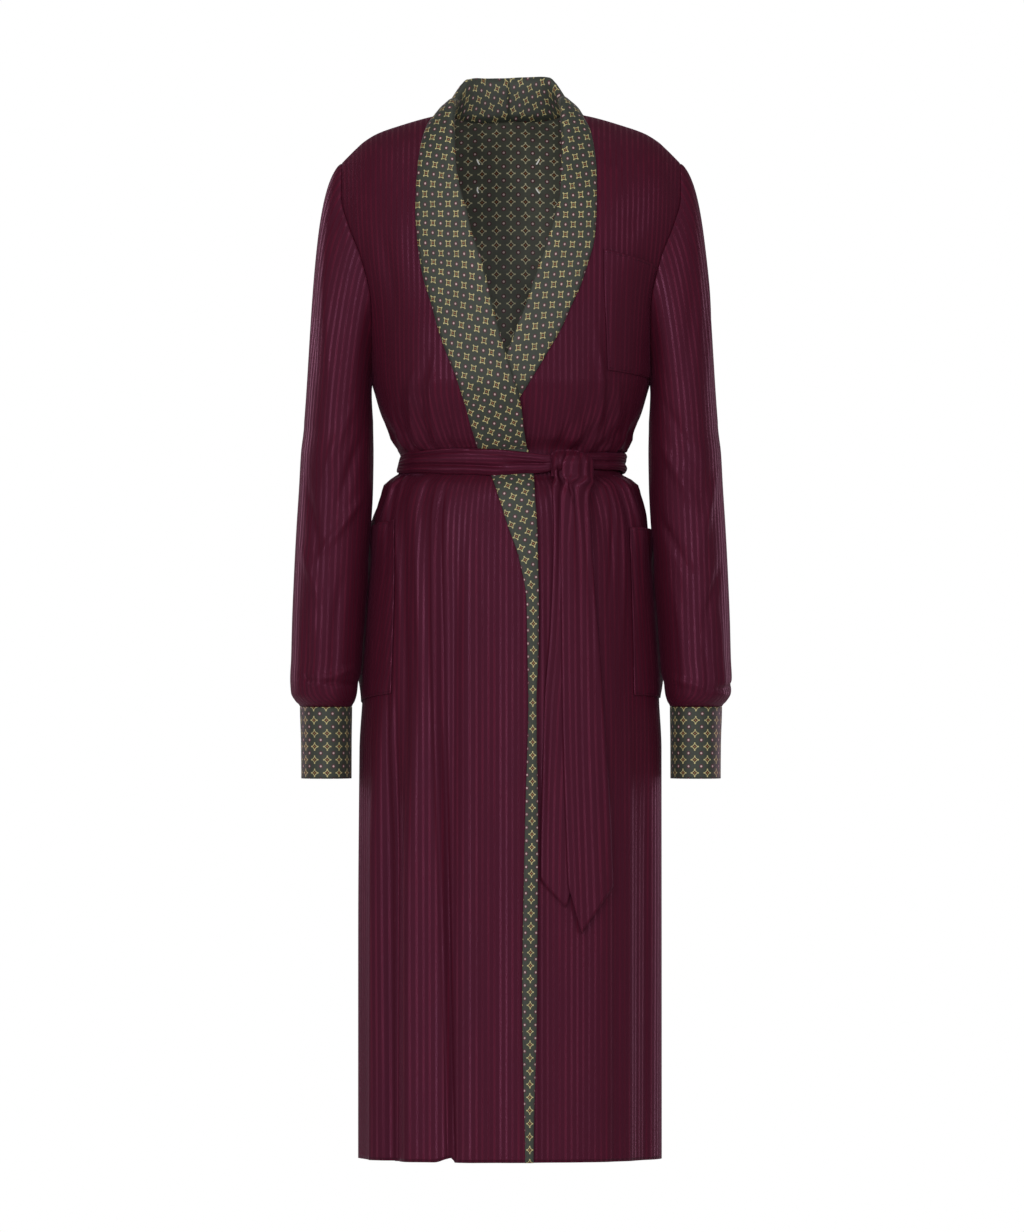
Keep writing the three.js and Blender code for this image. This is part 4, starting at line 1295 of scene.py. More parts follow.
@dataclass
class Fronts:
    """The two fronts, from the folded edge to the side seam and up to the shoulder."""

    figure: Figure
    below: int = 190
    yoke: int = 50
    collar_columns: int = 16
    body_columns: int = 180
    cuts: dict = field(
        default_factory=lambda: {
            Side.RIGHT: Cut(0.30, 1.222, 0.81, "hung", ("back",)),
            Side.LEFT: Cut(0.346, 1.246, 0.77, "hung", ("back",)),
        }
    )

    def cloth(self, lines: dict[str, np.ndarray], side: Side) -> Cloth:
        """The grid of one front."""
        rows = self.figure.rows(Half.FRONT, HEM_Z, self.below, self.yoke)
        fold, outer = self.figure.edge_angles(lines, rows)
        end = self.figure.side_angle(rows, side, Half.FRONT)[:, None]
        under = np.linspace(0, 1, self.collar_columns + 1)[:-1]
        open_part = np.linspace(0, 1, self.body_columns + 1)
        theta = np.concatenate([lerp(fold, outer, under), lerp(outer, end, open_part)], 1)
        level = np.repeat(rows.level[:, None], theta.shape[1], 1)
        return self.figure.cloth(theta, level, Half.FRONT, self.figure.lap(theta, level, side))

    def build(self, finishes: Finishes) -> None:
        """Makes both fronts."""
        for side, lines in FRONT_LINES.items():
            name = f"front_{side.name.lower()}"
            cloth = self.cloth(lines, side).sewn_in("last", "top")
            piece = cloth_object(f"{name}_cloth", cloth, Edges(bottom=True))
            thicken(piece, CLOTH)
            Sewn.dress(piece, finishes.cloth, Slot.STRIPED, name, self.cuts[side])


@dataclass
class Back:
    """The back in one piece, and the printed lining inside its upper part."""

    figure: Figure
    below: int = 160
    yoke: int = 50
    columns: int = 190
    neck_middle: float = -3
    neck_side: float = 62
    neck_drop: float = 0.072
    neck_round: float = 0.7
    neck_near: float = 4
    lining_bottom: float = -330
    lining_rows: int = 16
    tack_length: float = 6.5
    tack_thick: float = 0.75
    tack_clear: float = 2.0
    tack_arch: float = 0.5
    cut: Cut = field(default_factory=lambda: Cut(0.44, 1.215, 0.89, "hung"))
    lining_cut: Cut = field(default_factory=lambda: Cut(0.421, 0.396, 0.81, "hung", ("back",)))

    def neck_rise(self, x: np.ndarray) -> np.ndarray:
        """The share of the yoke that the back climbs to."""
        across = (x - self.neck_middle) / self.neck_side
        return 1 - self.neck_drop * np.maximum(0, 1 - across**2) ** self.neck_round

    def neck_level(self, theta: np.ndarray, rows: Rows) -> np.ndarray:
        """The level of each point of a grid that ends at the neckline."""
        level = np.repeat(rows.level[:, None], theta.shape[1], 1)
        rise = rows.rise[:, None]
        x = self.figure.point(theta, level)[..., 0]
        drop = (1 - self.neck_rise(x)) * rise**self.neck_near
        return np.where(rise > 0, self.figure.yoke_level(rise * (1 - drop), Half.BACK), level)

    def cloth(self, bottom: float, below: int) -> Cloth:
        """The grid of the back from a level up."""
        rows = self.figure.rows(Half.BACK, bottom, below, self.yoke)
        left = self.figure.side_angle(rows, Side.LEFT, Half.BACK)
        right = self.figure.side_angle(rows, Side.RIGHT, Half.BACK)
        right = np.where(right < left, right + 2 * np.pi, right)
        theta = lerp(left[:, None], right[:, None], np.linspace(0, 1, self.columns + 1))
        return self.figure.cloth(theta, self.neck_level(theta, rows), Half.BACK)

    def tacks(self, lining: Cloth, material: bpy.types.Material) -> bpy.types.Object:
        """Four loose tacking stitches inside the back of the neck."""
        marks = table(
            "x z lean bow",
            (-36.3, -40.7, 115, 0.3),
            (29.7, -40.7, 60, -0.3),
            (-36.3, -71.5, 95, 1.0),
            (29.7, -72.6, 125, 0.2),
        )
        curve = bpy.data.curves.new("tack_stitches", "CURVE")
        curve.dimensions = "3D"
        curve.bevel_depth = self.tack_thick * MM
        curve.bevel_resolution = 3
        flat = lining.points.reshape(-1, 3)
        for x, z, lean, bow in zip(*marks.values()):
            near = np.argmin((flat[:, 0] - x) ** 2 + (flat[:, 2] - z) ** 2)
            y = flat[near, 1] - self.tack_clear
            way = np.array([math.cos(lean * DEGREE), math.sin(lean * DEGREE)])
            spline = curve.splines.new("POLY")
            spline.points.add(6)
            for i, share in enumerate(np.linspace(-0.5, 0.5, 7)):
                lift = 1 - (2 * share) ** 2
                across = np.array([x, z]) + way * share * self.tack_length
                across += np.array([-way[1], way[0]]) * bow * lift
                spline.points[i].co = (*(np.array([across[0], y - self.tack_arch * lift, across[1]]) * MM), 1)
        holder = linked("tack_curve", curve)
        bpy.context.view_layer.update()
        solid = holder.evaluated_get(bpy.context.evaluated_depsgraph_get())
        mesh = bpy.data.meshes.new_from_object(solid)
        bpy.data.objects.remove(holder)
        made = linked("tack_stitches", mesh)
        made.data.materials.clear()
        made.data.materials.append(material)
        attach(made, "root")
        return made

    def build(self, finishes: Finishes) -> None:
        """Makes the back and its lining."""
        outer = self.cloth(HEM_Z, self.below).sewn_in("first", "last", "top")
        back = cloth_object("back_cloth", outer, Edges(bottom=True))
        thicken(back, CLOTH)
        Sewn.dress(back, finishes.cloth, Slot.STRIPED, "back", self.cut)
        inner = self.cloth(self.lining_bottom, self.lining_rows).moved(-(WALL + GAP))
        lining = cloth_object("back_lining_print", inner, Edges(bottom=True))
        thicken(lining, CLOTH)
        tacks = self.tacks(inner.moved(-CLOTH), finishes.thread)
        Sewn.dress(lining, finishes.lining, Slot.PRINTED, "back_lining", self.lining_cut, (tacks,))


@dataclass
class ShawlCollar:
    """The collar and front band in two halves, joined at the middle of the back."""

    figure: Figure
    back: Back
    below: int = 190
    yoke: int = 44
    joins: int = 5
    stations: int = 24
    places: int = 5  # across a row, which a smooth curve then joins
    columns: int = 22
    lean_in: float = 4
    lean_out: float = 2
    front_bulge: float = 1.5
    bulge_up: float = 0.5
    widen: float = 1.25
    lower: float = 0.0032
    lower_from: float = 0.25
    neck_depth: float = 20
    plump: float = 1.1
    turn_behind: float = 68  # how far the print is turned at the middle of the back, in degrees
    foot_in: float = 2  # how far the stand's foot laps in front of the lining, and down over it
    foot_down: float = 2
    join_pull: float = 0.3  # how strongly the join keeps the directions of both parts
    grain_line: float = 0.45  # the share of its width where the print lies true
    sunk: float = 0.2  # how far its edges lie below the solid's face
    lap_from: tuple = (100, 118)  # angles from which the stand's foot laps over the lining
    cut: Cut = field(default_factory=lambda: Cut(0.092, 1.33, 0.39, "hung"))

    def section(
        self, seam: np.ndarray, fold: np.ndarray, edge: np.ndarray, bulge: np.ndarray
    ) -> np.ndarray:
        """The five places across the collar where it stands and falls."""
        out = edge - fold
        out[..., 2] = 0
        out = unit(out) * bulge[..., None]
        out[..., 2] = bulge * self.bulge_up
        falls = [lerp(fold, edge, share) + out for share in (1 / 3, 2 / 3)]
        return np.stack([seam, fold, *falls, edge], 1)

    def inward(self, seam: np.ndarray) -> np.ndarray:
        """Level directions from the seam to the middle of the neck."""
        middle = np.array([self.back.neck_middle, self.neck_depth, 0])
        way = middle - seam
        way[..., 2] = 0
        return unit(way)

    def lying(self, lines: dict[str, np.ndarray], side: Side, places: int) -> Cloth:
        """The front rows as they would lie flat on the front, at so many places across."""
        rows = self.figure.rows(Half.FRONT, HEM_Z, self.below, self.yoke)
        theta = lerp(*self.figure.edge_angles(lines, rows), np.linspace(0, 1, places))
        level = np.repeat(rows.level[:, None], places, 1)
        return self.figure.cloth(theta, level, Half.FRONT, GAP + self.figure.lap(theta, level, side))

    def front_rows(self, lines: dict[str, np.ndarray], side: Side) -> np.ndarray:
        """Places across the collar in the rows that lie on the front."""
        rows = self.figure.rows(Half.FRONT, HEM_Z, self.below, self.yoke)
        lying = self.lying(lines, side, self.places).points
        seam = lying[:, 0]
        stand, blend = tracks(COLLAR_RISING, "rise", rows.rise, "stand", "blend")
        fold = seam - self.inward(seam) * self.lean_out
        fold[:, 2] += stand
        standing = self.section(seam, fold, lying[:, -1], np.full(len(seam), self.front_bulge))
        return lerp(lying, standing, blend[:, None, None])

    def neck_rows(self, side: Side) -> np.ndarray:
        """Places across the collar in the rows that go round the back of the neck."""
        angles = np.linspace(COLLAR_NECK["angle"][0], COLLAR_NECK["angle"][-1], self.stations)
        stand, fall, bulge = tracks(COLLAR_NECK, "angle", angles, "stand", "fall", "bulge")
        angle = side.value * angles * DEGREE
        x = self.back.neck_middle + self.back.neck_side * np.sin(angle)
        level = self.figure.yoke_level(self.back.neck_rise(x), Half.BACK)
        seam = self.figure.point(self.back_theta(x), level)
        seam[:, 2] += GAP
        fold = seam + self.inward(seam) * self.lean_in
        fold[:, 2] += stand
        out_x = self.back.neck_middle + (self.back.neck_side + fall * self.widen) * np.sin(angle)
        theta = self.back_theta(out_x)
        drop = fall * self.lower * (self.lower_from - np.cos(angle))
        level = self.figure.yoke_level(self.back.neck_rise(out_x) - drop, Half.BACK)
        edge = self.figure.point(theta, level) + self.figure.normal(theta, level) * GAP
        lap = smoothstep(*self.lap_from, angles)[:, None]
        foot = seam + (self.inward(seam) * self.foot_in - np.array([0, 0, self.foot_down])) * lap
        return self.section(foot, fold, edge, bulge)

    def back_theta(self, x: np.ndarray) -> np.ndarray:
        """The angle at which the yoke's back reaches a distance from the middle."""
        angle = self.figure.angle_of(x, np.zeros_like(x), Half.BACK)
        return np.where(angle < 0, angle + 2 * np.pi, angle)

    def joined(self, front: np.ndarray, neck: np.ndarray) -> np.ndarray:
        """The rows of both parts with a smooth run between them."""
        t = (np.arange(self.joins) + 1) / (self.joins + 1)
        t = t[:, None, None]
        reach = self.join_pull * np.linalg.norm(neck[0] - front[-1], axis=-1)[None, :, None]
        leave = unit(front[-1] - front[-4])[None] * reach
        arrive = unit(neck[1] - neck[0])[None] * reach
        u = 1 - t
        between = front[-1] * u * u * (1 + 2 * t) + leave * t * u * u
        between = between + neck[0] * t * t * (3 - 2 * t) - arrive * t * t * u
        return np.concatenate([front, between, neck], 0)

    def across(self, rows: np.ndarray) -> np.ndarray:
        """Fine columns on a smooth curve through the five places of each row."""
        share = np.linspace(0, self.places - 1, self.columns + 1)
        i = np.minimum(self.places - 2, share.astype(int))
        t = (share - i)[None, :, None]
        slope = np.gradient(rows, axis=1)
        u = 1 - t
        bend = slope[:, i] * t * u * u - slope[:, i + 1] * t * t * u
        return rows[:, i] * u * u * (1 + 2 * t) + rows[:, i + 1] * t * t * (3 - 2 * t) + bend

    def flat(self, points: np.ndarray, side: Side) -> np.ndarray:
        """Where the print lies: turned from the inner edge as the cut turns."""
        edge = points[:, 0]
        middle_column = round(self.grain_line * self.columns)
        line = points[:, middle_column]
        along = unit(np.gradient(line, axis=0))
        over = unit(points[:, middle_column + 1] - points[:, middle_column - 1])
        between = np.arccos(np.clip(np.sum(along * over, -1), -1, 1))
        count = self.below + self.yoke + 1
        turn, closer, nearer = np.ones((3, len(edge)))
        front = tracks(PRINT_TURN, "height", edge[:count, 2], "turn", "across", "along")
        turn[:count], closer[:count], nearer[:count] = front
        for values, behind in ((turn, self.turn_behind), (between, np.pi / 2), (closer, 1)):
            values[count:] = np.linspace(values[count - 1], behind, len(edge) - count)
        turn *= DEGREE
        steps = np.linalg.norm(np.diff(line, axis=0), axis=-1) / nearer[1:]
        middle = (turn[1:] + turn[:-1]) / 2
        ways = np.stack([np.cos(middle), np.sin(middle)], -1)
        path = np.concatenate([np.zeros((1, 2)), np.cumsum(steps[:, None] * ways, 0)])
        reach = run(points, axis=1)
        reach = ((reach - reach[:, middle_column : middle_column + 1]) / closer[:, None])[..., None]
        way = np.stack([np.cos(turn + between), np.sin(turn + between)], -1)[:, None]
        placed = path[:, None] + reach * way
        placed[..., 0] *= -side.value
        return placed

    def cloth(self, lines: dict[str, np.ndarray], side: Side) -> Cloth:
        """The grid of one half of the collar."""
        rows = self.joined(self.front_rows(lines, side), self.neck_rows(side))
        points = self.across(rows)
        normals = grid_normals(points) * side.value
        rise = self.figure.rows(Half.FRONT, HEM_Z, self.below, self.yoke).rise
        lies = 1 - Track(COLLAR_RISING, "rise", "blend")(rise)[:, None, None]
        close = self.lying(lines, side, self.columns + 1)
        coarse = self.lying(lines, side, self.places)
        points[: len(rise)] += (close.points - self.across(coarse.points)) * lies
        normals[: len(rise)] = unit(lerp(normals[: len(rise)], close.normals, lies))
        share = np.linspace(0, 1, self.columns + 1)
        puffed = self.plump * (1 - np.abs(2 * share - 1) ** 4)
        return Cloth(points, normals, self.flat(points, side)).moved(WALL - self.sunk + puffed)

    def build(self, finishes: Finishes) -> None:
        """Makes both halves."""
        for side, lines in FRONT_LINES.items():
            name = f"collar_{side.name.lower()}"
            piece = cloth_object(f"{name}_print", self.cloth(lines, side), Edges(bottom=True, last=True))
            thicken(piece, CLOTH)
            Sewn.dress(piece, finishes.collar, Slot.PRINTED, name, self.cut)


@dataclass
class Sleeves:
    """Two sleeves, bloused over their printed cuffs."""

    figure: Figure
    columns: int = 120
    head: int = 42
    arm: int = 130
    cuff_rows: int = 26
    crowding: float = 1.15
    puff: float = 12
    crease_radius: float = 44
    # How strongly the head leaves the armhole and arrives at the arm, outwards and down, each
    # under the arm and on the shoulder
    leave_out: tuple = (2, 95)
    leave_down: tuple = (45, 52)
    arrive_in: tuple = (3, -27)
    arrive_down: tuple = (45, 330)
    plain_rows: tuple = (5, 4)  # over which the creases rise at the armhole and fade at the hem
    cuff_wave: float = 0.5
    sleeve_cut: Cut = field(default_factory=lambda: Cut(0.36, 0.62, 0.68, "hung"))
    cuff_cut: Cut = field(default_factory=lambda: Cut(0.228, 0.079, 0.98, "hung"))

    def rings(self, sections: dict[str, np.ndarray], levels: np.ndarray, side: Side) -> np.ndarray:
        """Rings of a tube at its levels."""
        phi = np.linspace(0, 2 * np.pi, self.columns + 1)[None, :]
        keys = ("inner", "outer", "centre", "depth")
        inner, outer, centre, depth = (one[:, None] for one in tracks(sections, "level", levels, *keys))
        half = (outer - inner) / 2
        across = -signed_power(np.cos(phi), 2 / TUBE_ROUND) * half + inner + half
        along = -signed_power(np.sin(phi), 2 / TUBE_ROUND) * depth + centre
        height = np.repeat(levels[:, None], self.columns + 1, 1)
        return np.stack([side.value * across, along, height], -1)

    def armhole(self, side: Side) -> np.ndarray:
        """The ring where the sleeve meets the body."""
        phi = np.linspace(0, 2 * np.pi, self.columns + 1)
        rise = (1 - np.cos(phi)) / 2
        ring = np.zeros((len(phi), 3))
        for half in Half:
            mine = (np.sin(phi) >= 0) == (half is Half.FRONT)
            across = side.value * self.figure.armhole(rise)
            theta = self.figure.angle_of(across, ARMPIT_Z * (1 - rise), half)
            ring[mine] = self.figure.point(theta, self.figure.yoke_level(rise, half))[mine]
        ring[-1] = ring[0]
        return ring

    def sleeve_points(self, side: Side) -> np.ndarray:
        """All rings of a sleeve from the armhole down to the cuff."""
        phi = np.linspace(0, 2 * np.pi, self.columns + 1)
        share = (1 - np.cos(phi)) / 2
        zero = np.zeros_like(share)
        out, down = lerp(*self.leave_out, share), -lerp(*self.leave_down, share)
        leave = np.stack([side.value * out, -self.puff * np.sin(phi), down], -1)
        back_in, down = lerp(*self.arrive_in, share), -lerp(*self.arrive_down, share)
        arrive = np.stack([-side.value * back_in, zero, down], -1)
        levels = np.linspace(SLEEVE["level"][-1], SLEEVE["level"][0], self.arm + 1)
        arm = self.rings(SLEEVE, levels, side)
        t = ((np.arange(self.head) / self.head) ** self.crowding)[:, None, None]
        u = 1 - t
        head = self.armhole(side) * u * u * (1 + 2 * t) + leave * t * u * u
        head = head + arm[0] * t * t * (3 - 2 * t) - arrive * t * t * u
        return np.concatenate([head, arm], 0)

    def flat(self, points: np.ndarray) -> np.ndarray:
        """The flat place, measured from the sleeve's outer line and down from the armhole."""
        around = run(points * np.array([1, 1, 0]), axis=1)
        outer = around[:, self.columns // 2][:, None]
        return np.stack([around - outer, -run(points, axis=0)], -1)

    def sleeve_flat(self, points: np.ndarray) -> np.ndarray:
        """The flat place on a sleeve, whose head is measured from the outer line at each height."""
        flat = self.flat(points)
        line = points[::-1, self.columns // 2]
        head, ring = points[: self.head], points[self.head]
        out_x, out_y = (np.interp(head[..., 2], line[:, 2], line[:, i]) for i in (0, 1))
        reach = np.hypot(head[..., 0] - out_x, head[..., 1] - out_y)
        whole = np.hypot(*(ring[:, :2] - ring[self.columns // 2, :2]).T)
        flat[: self.head, :, 0] = reach * flat[self.head, :, 0] / np.maximum(whole, 1)
        return flat

    def build(self, finishes: Finishes) -> None:
        """Makes both sleeves and both cuffs."""
        degrees = np.linspace(0, 360, self.columns + 1)[None, :]
        for side in Side:
            name = side.name.lower()
            points = self.sleeve_points(side)
            normals = tube_normals(points) * -side.value
            rows = len(points)
            creases = CreaseField(self.crease_radius, SLEEVE_CREASES[side])
            height = creases.height(np.repeat(degrees, rows, 0), points[..., 2])
            first, last = self.plain_rows
            ends = smoothstep(0, first, np.arange(rows)) * smoothstep(rows - 1, rows - last, np.arange(rows))
            sleeve = Cloth(points, normals, self.sleeve_flat(points)).moved(height * ends[:, None])
            piece = cloth_object(f"sleeve_{name}_cloth", sleeve.sewn_in("bottom"), around=True)
            thicken(piece, CLOTH)
            Sewn.dress(piece, finishes.cloth, Slot.STRIPED, f"sleeve_{name}", self.sleeve_cut)
            levels = np.linspace(SLEEVE_HEM_Z, CUFF_HEM_Z, self.cuff_rows + 1)
            rings = self.rings(CUFF, levels, side)
            out = tube_normals(rings) * -side.value
            wave = self.cuff_wave * np.sin(3 * degrees * DEGREE + 1)
            wave = wave * smoothstep(SLEEVE_HEM_Z, CUFF_HEM_Z, levels)[:, None]
            cuff = Cloth(rings, out, self.flat(rings)).moved(wave)
            piece = cloth_object(f"cuff_{name}_print", cuff, Edges(top=True), around=True)
            thicken(piece, WALL)
            Sewn.dress(piece, finishes.cuff, Slot.PRINTED, f"cuff_{name}", self.cuff_cut)


@dataclass
class PatchPocket:
    """A patch pocket whose inner edge and ends follow lines seen from the front."""

    name: str
    side: Side
    inner: dict[str, np.ndarray]
    tops: tuple[float, float]  # heights at the inner and outer corner
    bottoms: tuple[float, float]
    margin: float  # degrees between its outer edge and the side seam
    gape: float
    slant: float  # degrees by which its stripes are turned
    cut: Cut
    rows: int = 90
    columns: int = 44
    plump: float = 0.7
    rounded: float = 5  # steps of the grid over which its edges round down
    gape_from: float = 0.75

    def build(self, figure: Figure, finishes: Finishes) -> None:
        """Makes the pocket.

        Args:
            figure: The form that its front follows.
            finishes: The coat's materials.
        """
        u = np.linspace(0, 1, self.columns + 1)[None, :]
        v = np.linspace(0, 1, self.rows + 1)[:, None]
        height = lerp(lerp(*self.bottoms, u), lerp(*self.tops, u), v)
        inner_x = Track(self.inner, "height", "x")(height[:, :1])
        inner, level = figure.at(np.repeat(inner_x, self.columns + 1, 1), height, Half.FRONT)
        rise = np.clip((height - ARMPIT_Z) / (figure.ridge(figure.armhole(0.5)) - ARMPIT_Z), 0, 1)
        over = height > ARMPIT_Z
        rows = Rows(level, np.where(over, rise, 0), np.where(over, ARMPIT_Z * (1 - rise), level))
        outer = figure.side_angle(rows, self.side, Half.FRONT) - self.side.value * self.margin * DEGREE
        theta = lerp(inner, outer, u)
        edge = np.minimum(np.minimum(u, 1 - u) * self.columns, v * self.rows) / self.rounded
        lift = GAP + WALL + self.plump * smoothstep(0, 1, edge)
        lift = lift + self.gape * smoothstep(self.gape_from, 1, v) * np.sin(np.pi * u)
        lift = lift + figure.lap(theta, level, self.side)
        cloth = figure.cloth(theta, level, Half.FRONT, lift)
        turn = self.slant * DEGREE
        across, up = cloth.flat[..., 0].copy(), cloth.flat[..., 1].copy()
        cloth.flat[..., 0] = across * math.cos(turn) - up * math.sin(turn)
        cloth.flat[..., 1] = across * math.sin(turn) + up * math.cos(turn)
        piece = cloth_object(f"{self.name}_cloth", cloth, Edges(True, True, True, True))
        thicken(piece, CLOTH)
        Sewn.dress(piece, finishes.cloth, Slot.STRIPED, self.name, self.cut)


@dataclass
class TieBelt:
    """One strip, shown as the wrap round the waist, the knot and two pointed tails."""

    figure: Figure
    columns: int = 300
    rows: int = 34
    thick: float = 2
    strip: float = 44.0  # the width of the strip before it is crushed
    press: float = 0.4
    swell: float = 1.2
    wander: tuple = ((0.7, 5, 0.6), (0.5, 11, 0.0))  # waves of its edges: size, count and phase
    upper_wander: float = 0.6
    tuck: float = 5  # how far the wrap's upper edge draws in at the wearer's right
    tuck_angle: float = -90
    tuck_width: float = 26
    knot_left: float = 25.5
    knot_right: float = 44.5
    knot_top: float = -363
    knot_bottom: float = -391
    knot_thick: float = 11.5
    knot_off: float = 3
    knot_over: float = 0.45  # the share of its height from which it rounds over its top
    knot_least: float = 0.2  # the share of its thickness that its top keeps
    knot_falling: tuple = (0.25, 0.5)  # its thickness at the lower end, and where it is full
    knot_arch: float = 1.2
    knot_corners: tuple = (3, 3.5)  # how far its upper corners lie lower
    slit_place: float = 0.27
    slit_width: float = 0.03
    slit_depth: float = 3
    slit_fades: tuple = (0.34, 0.1)
    pleat_wave: float = 0.04
    knot_steps: int = 64
    tail_drop: float = 9  # how far a tail's outer edge turns down over the knot
    tail_turns: tuple = (-450, -390)  # the heights between which it turns down
    tail_follows: tuple = (-425, -500)  # the heights between which it takes up the front's folds
    tail_settles: float = 0.45  # the share of its length after which its pleats keep their slack
    tail_edge: float = 0.35  # the share of its thickness at its edges
    tail_crowding: float = 1.5
    tail_thick: float = 1.8
    tail_slack: float = 0.3  # the share of its pleats that a tail keeps lower down
    wrap_layers: float = 1.6  # the thickness of the strip's layers
    tail_layers: float = 1.4
    tail_columns: int = 26
    tail_rows: int = 130
    wrap_cut: Cut = field(
        default_factory=lambda: Cut(0.032, 0.72, 0.93, "gathered", ("front_right", "back"))
    )
    knot_cut: Cut = field(default_factory=lambda: Cut(0.058, 0.036, 0.79, "folded", ("belt_wrap",)))
    left_cut: Cut = field(default_factory=lambda: Cut(0.036, 0.473, 0.81, "hung", ("belt_knot",)))
    right_cut: Cut = field(default_factory=lambda: Cut(0.047, 0.526, 0.96, "hung", ("belt_knot",)))

    # The wrap's edges as it is pulled to the knot from both sides
    EDGES = table(
        "angle top bottom",
        (-180, -361.5, -388.5),
        (-95, -367.5, -386),
        (-65, -362.5, -388),
        (-40, -359.5, -388),
        (-5, -362, -390),
        (14, -364.5, -389),
        (23, -366.5, -386.5),
        (40, -365.5, -381),
        (62, -365, -383),
        (92, -363, -387.5),
        (180, -361.5, -388.5),
    )
    # Ridges and troughs along the wrap: the share of its height at each end
    CRUSH = table(
        "angle share to_angle to_share width height",
        (-84, 0.70, -24, 0.92, 0.055, -2.4),
        (-84, 0.40, -2, 0.34, 0.055, -2.6),
        (-80, 0.56, 26, 0.62, 0.12, 1.6),
        (-80, 0.18, 22, 0.22, 0.10, 1.6),
        (-30, 0.80, 26, 0.58, 0.06, 1.1),
        (-4, 0.44, 25, 0.50, 0.05, -1.8),
        (38, 0.80, 118, 0.80, 0.11, 1.2),
        (36, 0.52, 96, 0.46, 0.06, -2.4),
        (38, 0.26, 120, 0.22, 0.11, 1.2),
        (90, 0.62, 178, 0.58, 0.08, 1.7),
        (120, 0.30, 200, 0.36, 0.06, -1.6),
        (130, 0.10, 216, 0.20, 0.08, 1.5),
        (150, 0.80, 232, 0.76, 0.07, 1.6),
        (190, 0.55, 244, 0.62, 0.05, -1.6),
    )
    # Pleats of the knot: across places at its lower and upper end
    PLEATS = table(
        "low high width height",
        (0.93, 0.84, 0.05, 2.4),
        (0.84, 0.74, 0.05, -1.4),
        (0.64, 0.60, 0.12, 1.6),
        (0.44, 0.44, 0.05, -1.3),
        (0.30, 0.30, 0.09, 1.2),
        (0.17, 0.14, 0.04, -1.2),
    )

    def waist(self, theta: np.ndarray, height: np.ndarray, lift: np.ndarray) -> np.ndarray:
        """Points off the waist at their own heights."""
        level = np.full_like(theta, BELT_Z)
        points = self.figure.point(theta, level) + self.figure.normal(theta, level) * lift[..., None]
        points[..., 2] = height
        return points

    def crush(self, degrees: np.ndarray, share: np.ndarray) -> np.ndarray:
        """How far the wrap's folds stand out."""
        total = np.zeros(np.broadcast(degrees, share).shape)
        for angle, place, to_angle, to_place, width, height in zip(*self.CRUSH.values()):
            for turn in (-360, 0, 360):
                along = (degrees + turn - angle) / (to_angle - angle)
                inside = np.clip(along, 0, 1)
                fade = smoothstep(-0.02, 0.15, along) * smoothstep(1.02, 0.85, along)
                off = (share - lerp(place, to_place, inside)) / width
                total += height * np.exp(-(off**2)) * fade
        return total

    def wrap(self) -> Cloth:
        """The grid of the wrap."""
        degrees = np.linspace(-180, 180, self.columns + 1)[None, :]
        share = np.linspace(0, 1, self.rows + 1)[:, None]
        top, bottom = tracks(self.EDGES, "angle", degrees, "top", "bottom")
        turn = degrees * DEGREE
        wander = sum(size * np.sin(turn * count + phase) for size, count, phase in self.wander)
        height = lerp(bottom + wander, top + self.upper_wander * wander[:, ::-1], share)
        theta = np.repeat(degrees * DEGREE, self.rows + 1, 0)
        rounding = np.sqrt(np.maximum(0, 1 - np.abs(2 * share - 1) ** 6))
        lift = BELT_LIFT - self.press + (self.thick + self.swell) * rounding
        lift = lift + self.crush(degrees, share) * rounding
        lift = lift - self.tuck * share * np.exp(-(((degrees - self.tuck_angle) / self.tuck_width) ** 2))
        points = self.waist(theta, height, lift)
        normals = tube_normals(points)
        along = run(points, axis=1).mean(axis=0)[None, :]
        flat = np.stack(np.broadcast_arrays(share * self.strip, along), -1)
        return Cloth(points, normals, flat)

    def knot(self) -> Cloth:
        """The grid of the knot."""
        u = np.linspace(0, 1, self.knot_steps + 1)[None, :]
        v = np.linspace(0, 1, self.knot_steps + 1)[:, None]
        side = np.sqrt(np.maximum(0, 1 - np.abs(2 * u - 1) ** 4))
        over_top = np.sqrt(np.maximum(0, 1 - smoothstep(self.knot_over, 1, v) ** 2))
        least, full = self.knot_falling
        falling = lerp(least, 1, smoothstep(0, full, v))
        thick = self.knot_thick * side * np.maximum(self.knot_least, over_top) * falling
        lift = BELT_LIFT + self.knot_off + thick
        for low, high, width, height in zip(*self.PLEATS.values()):
            place = lerp(low, high, v) + self.pleat_wave * np.sin(3 * v + 9 * low)
            lift = lift + height * np.exp(-(((u - place) / width) ** 2)) * side
        slit = np.exp(-(((u - self.slit_place) / self.slit_width) ** 2)) * smoothstep(*self.slit_fades, v)
        lift = lift - self.slit_depth * slit * side
        theta = lerp(self.knot_left, self.knot_right, u) * DEGREE + 0 * v
        inner, outer = self.knot_corners
        top = self.knot_top + self.knot_arch * np.sin(np.pi * u)
        top = top - outer * smoothstep(0.7, 1, u) - inner * smoothstep(0.2, 0, u)
        height = lerp(self.knot_bottom + 0 * u, top, v)
        points = self.waist(theta, height, lift)
        flat = np.stack([run(points, axis=1), run(points, axis=0)], -1)
        return Cloth(points, grid_normals(points), flat)

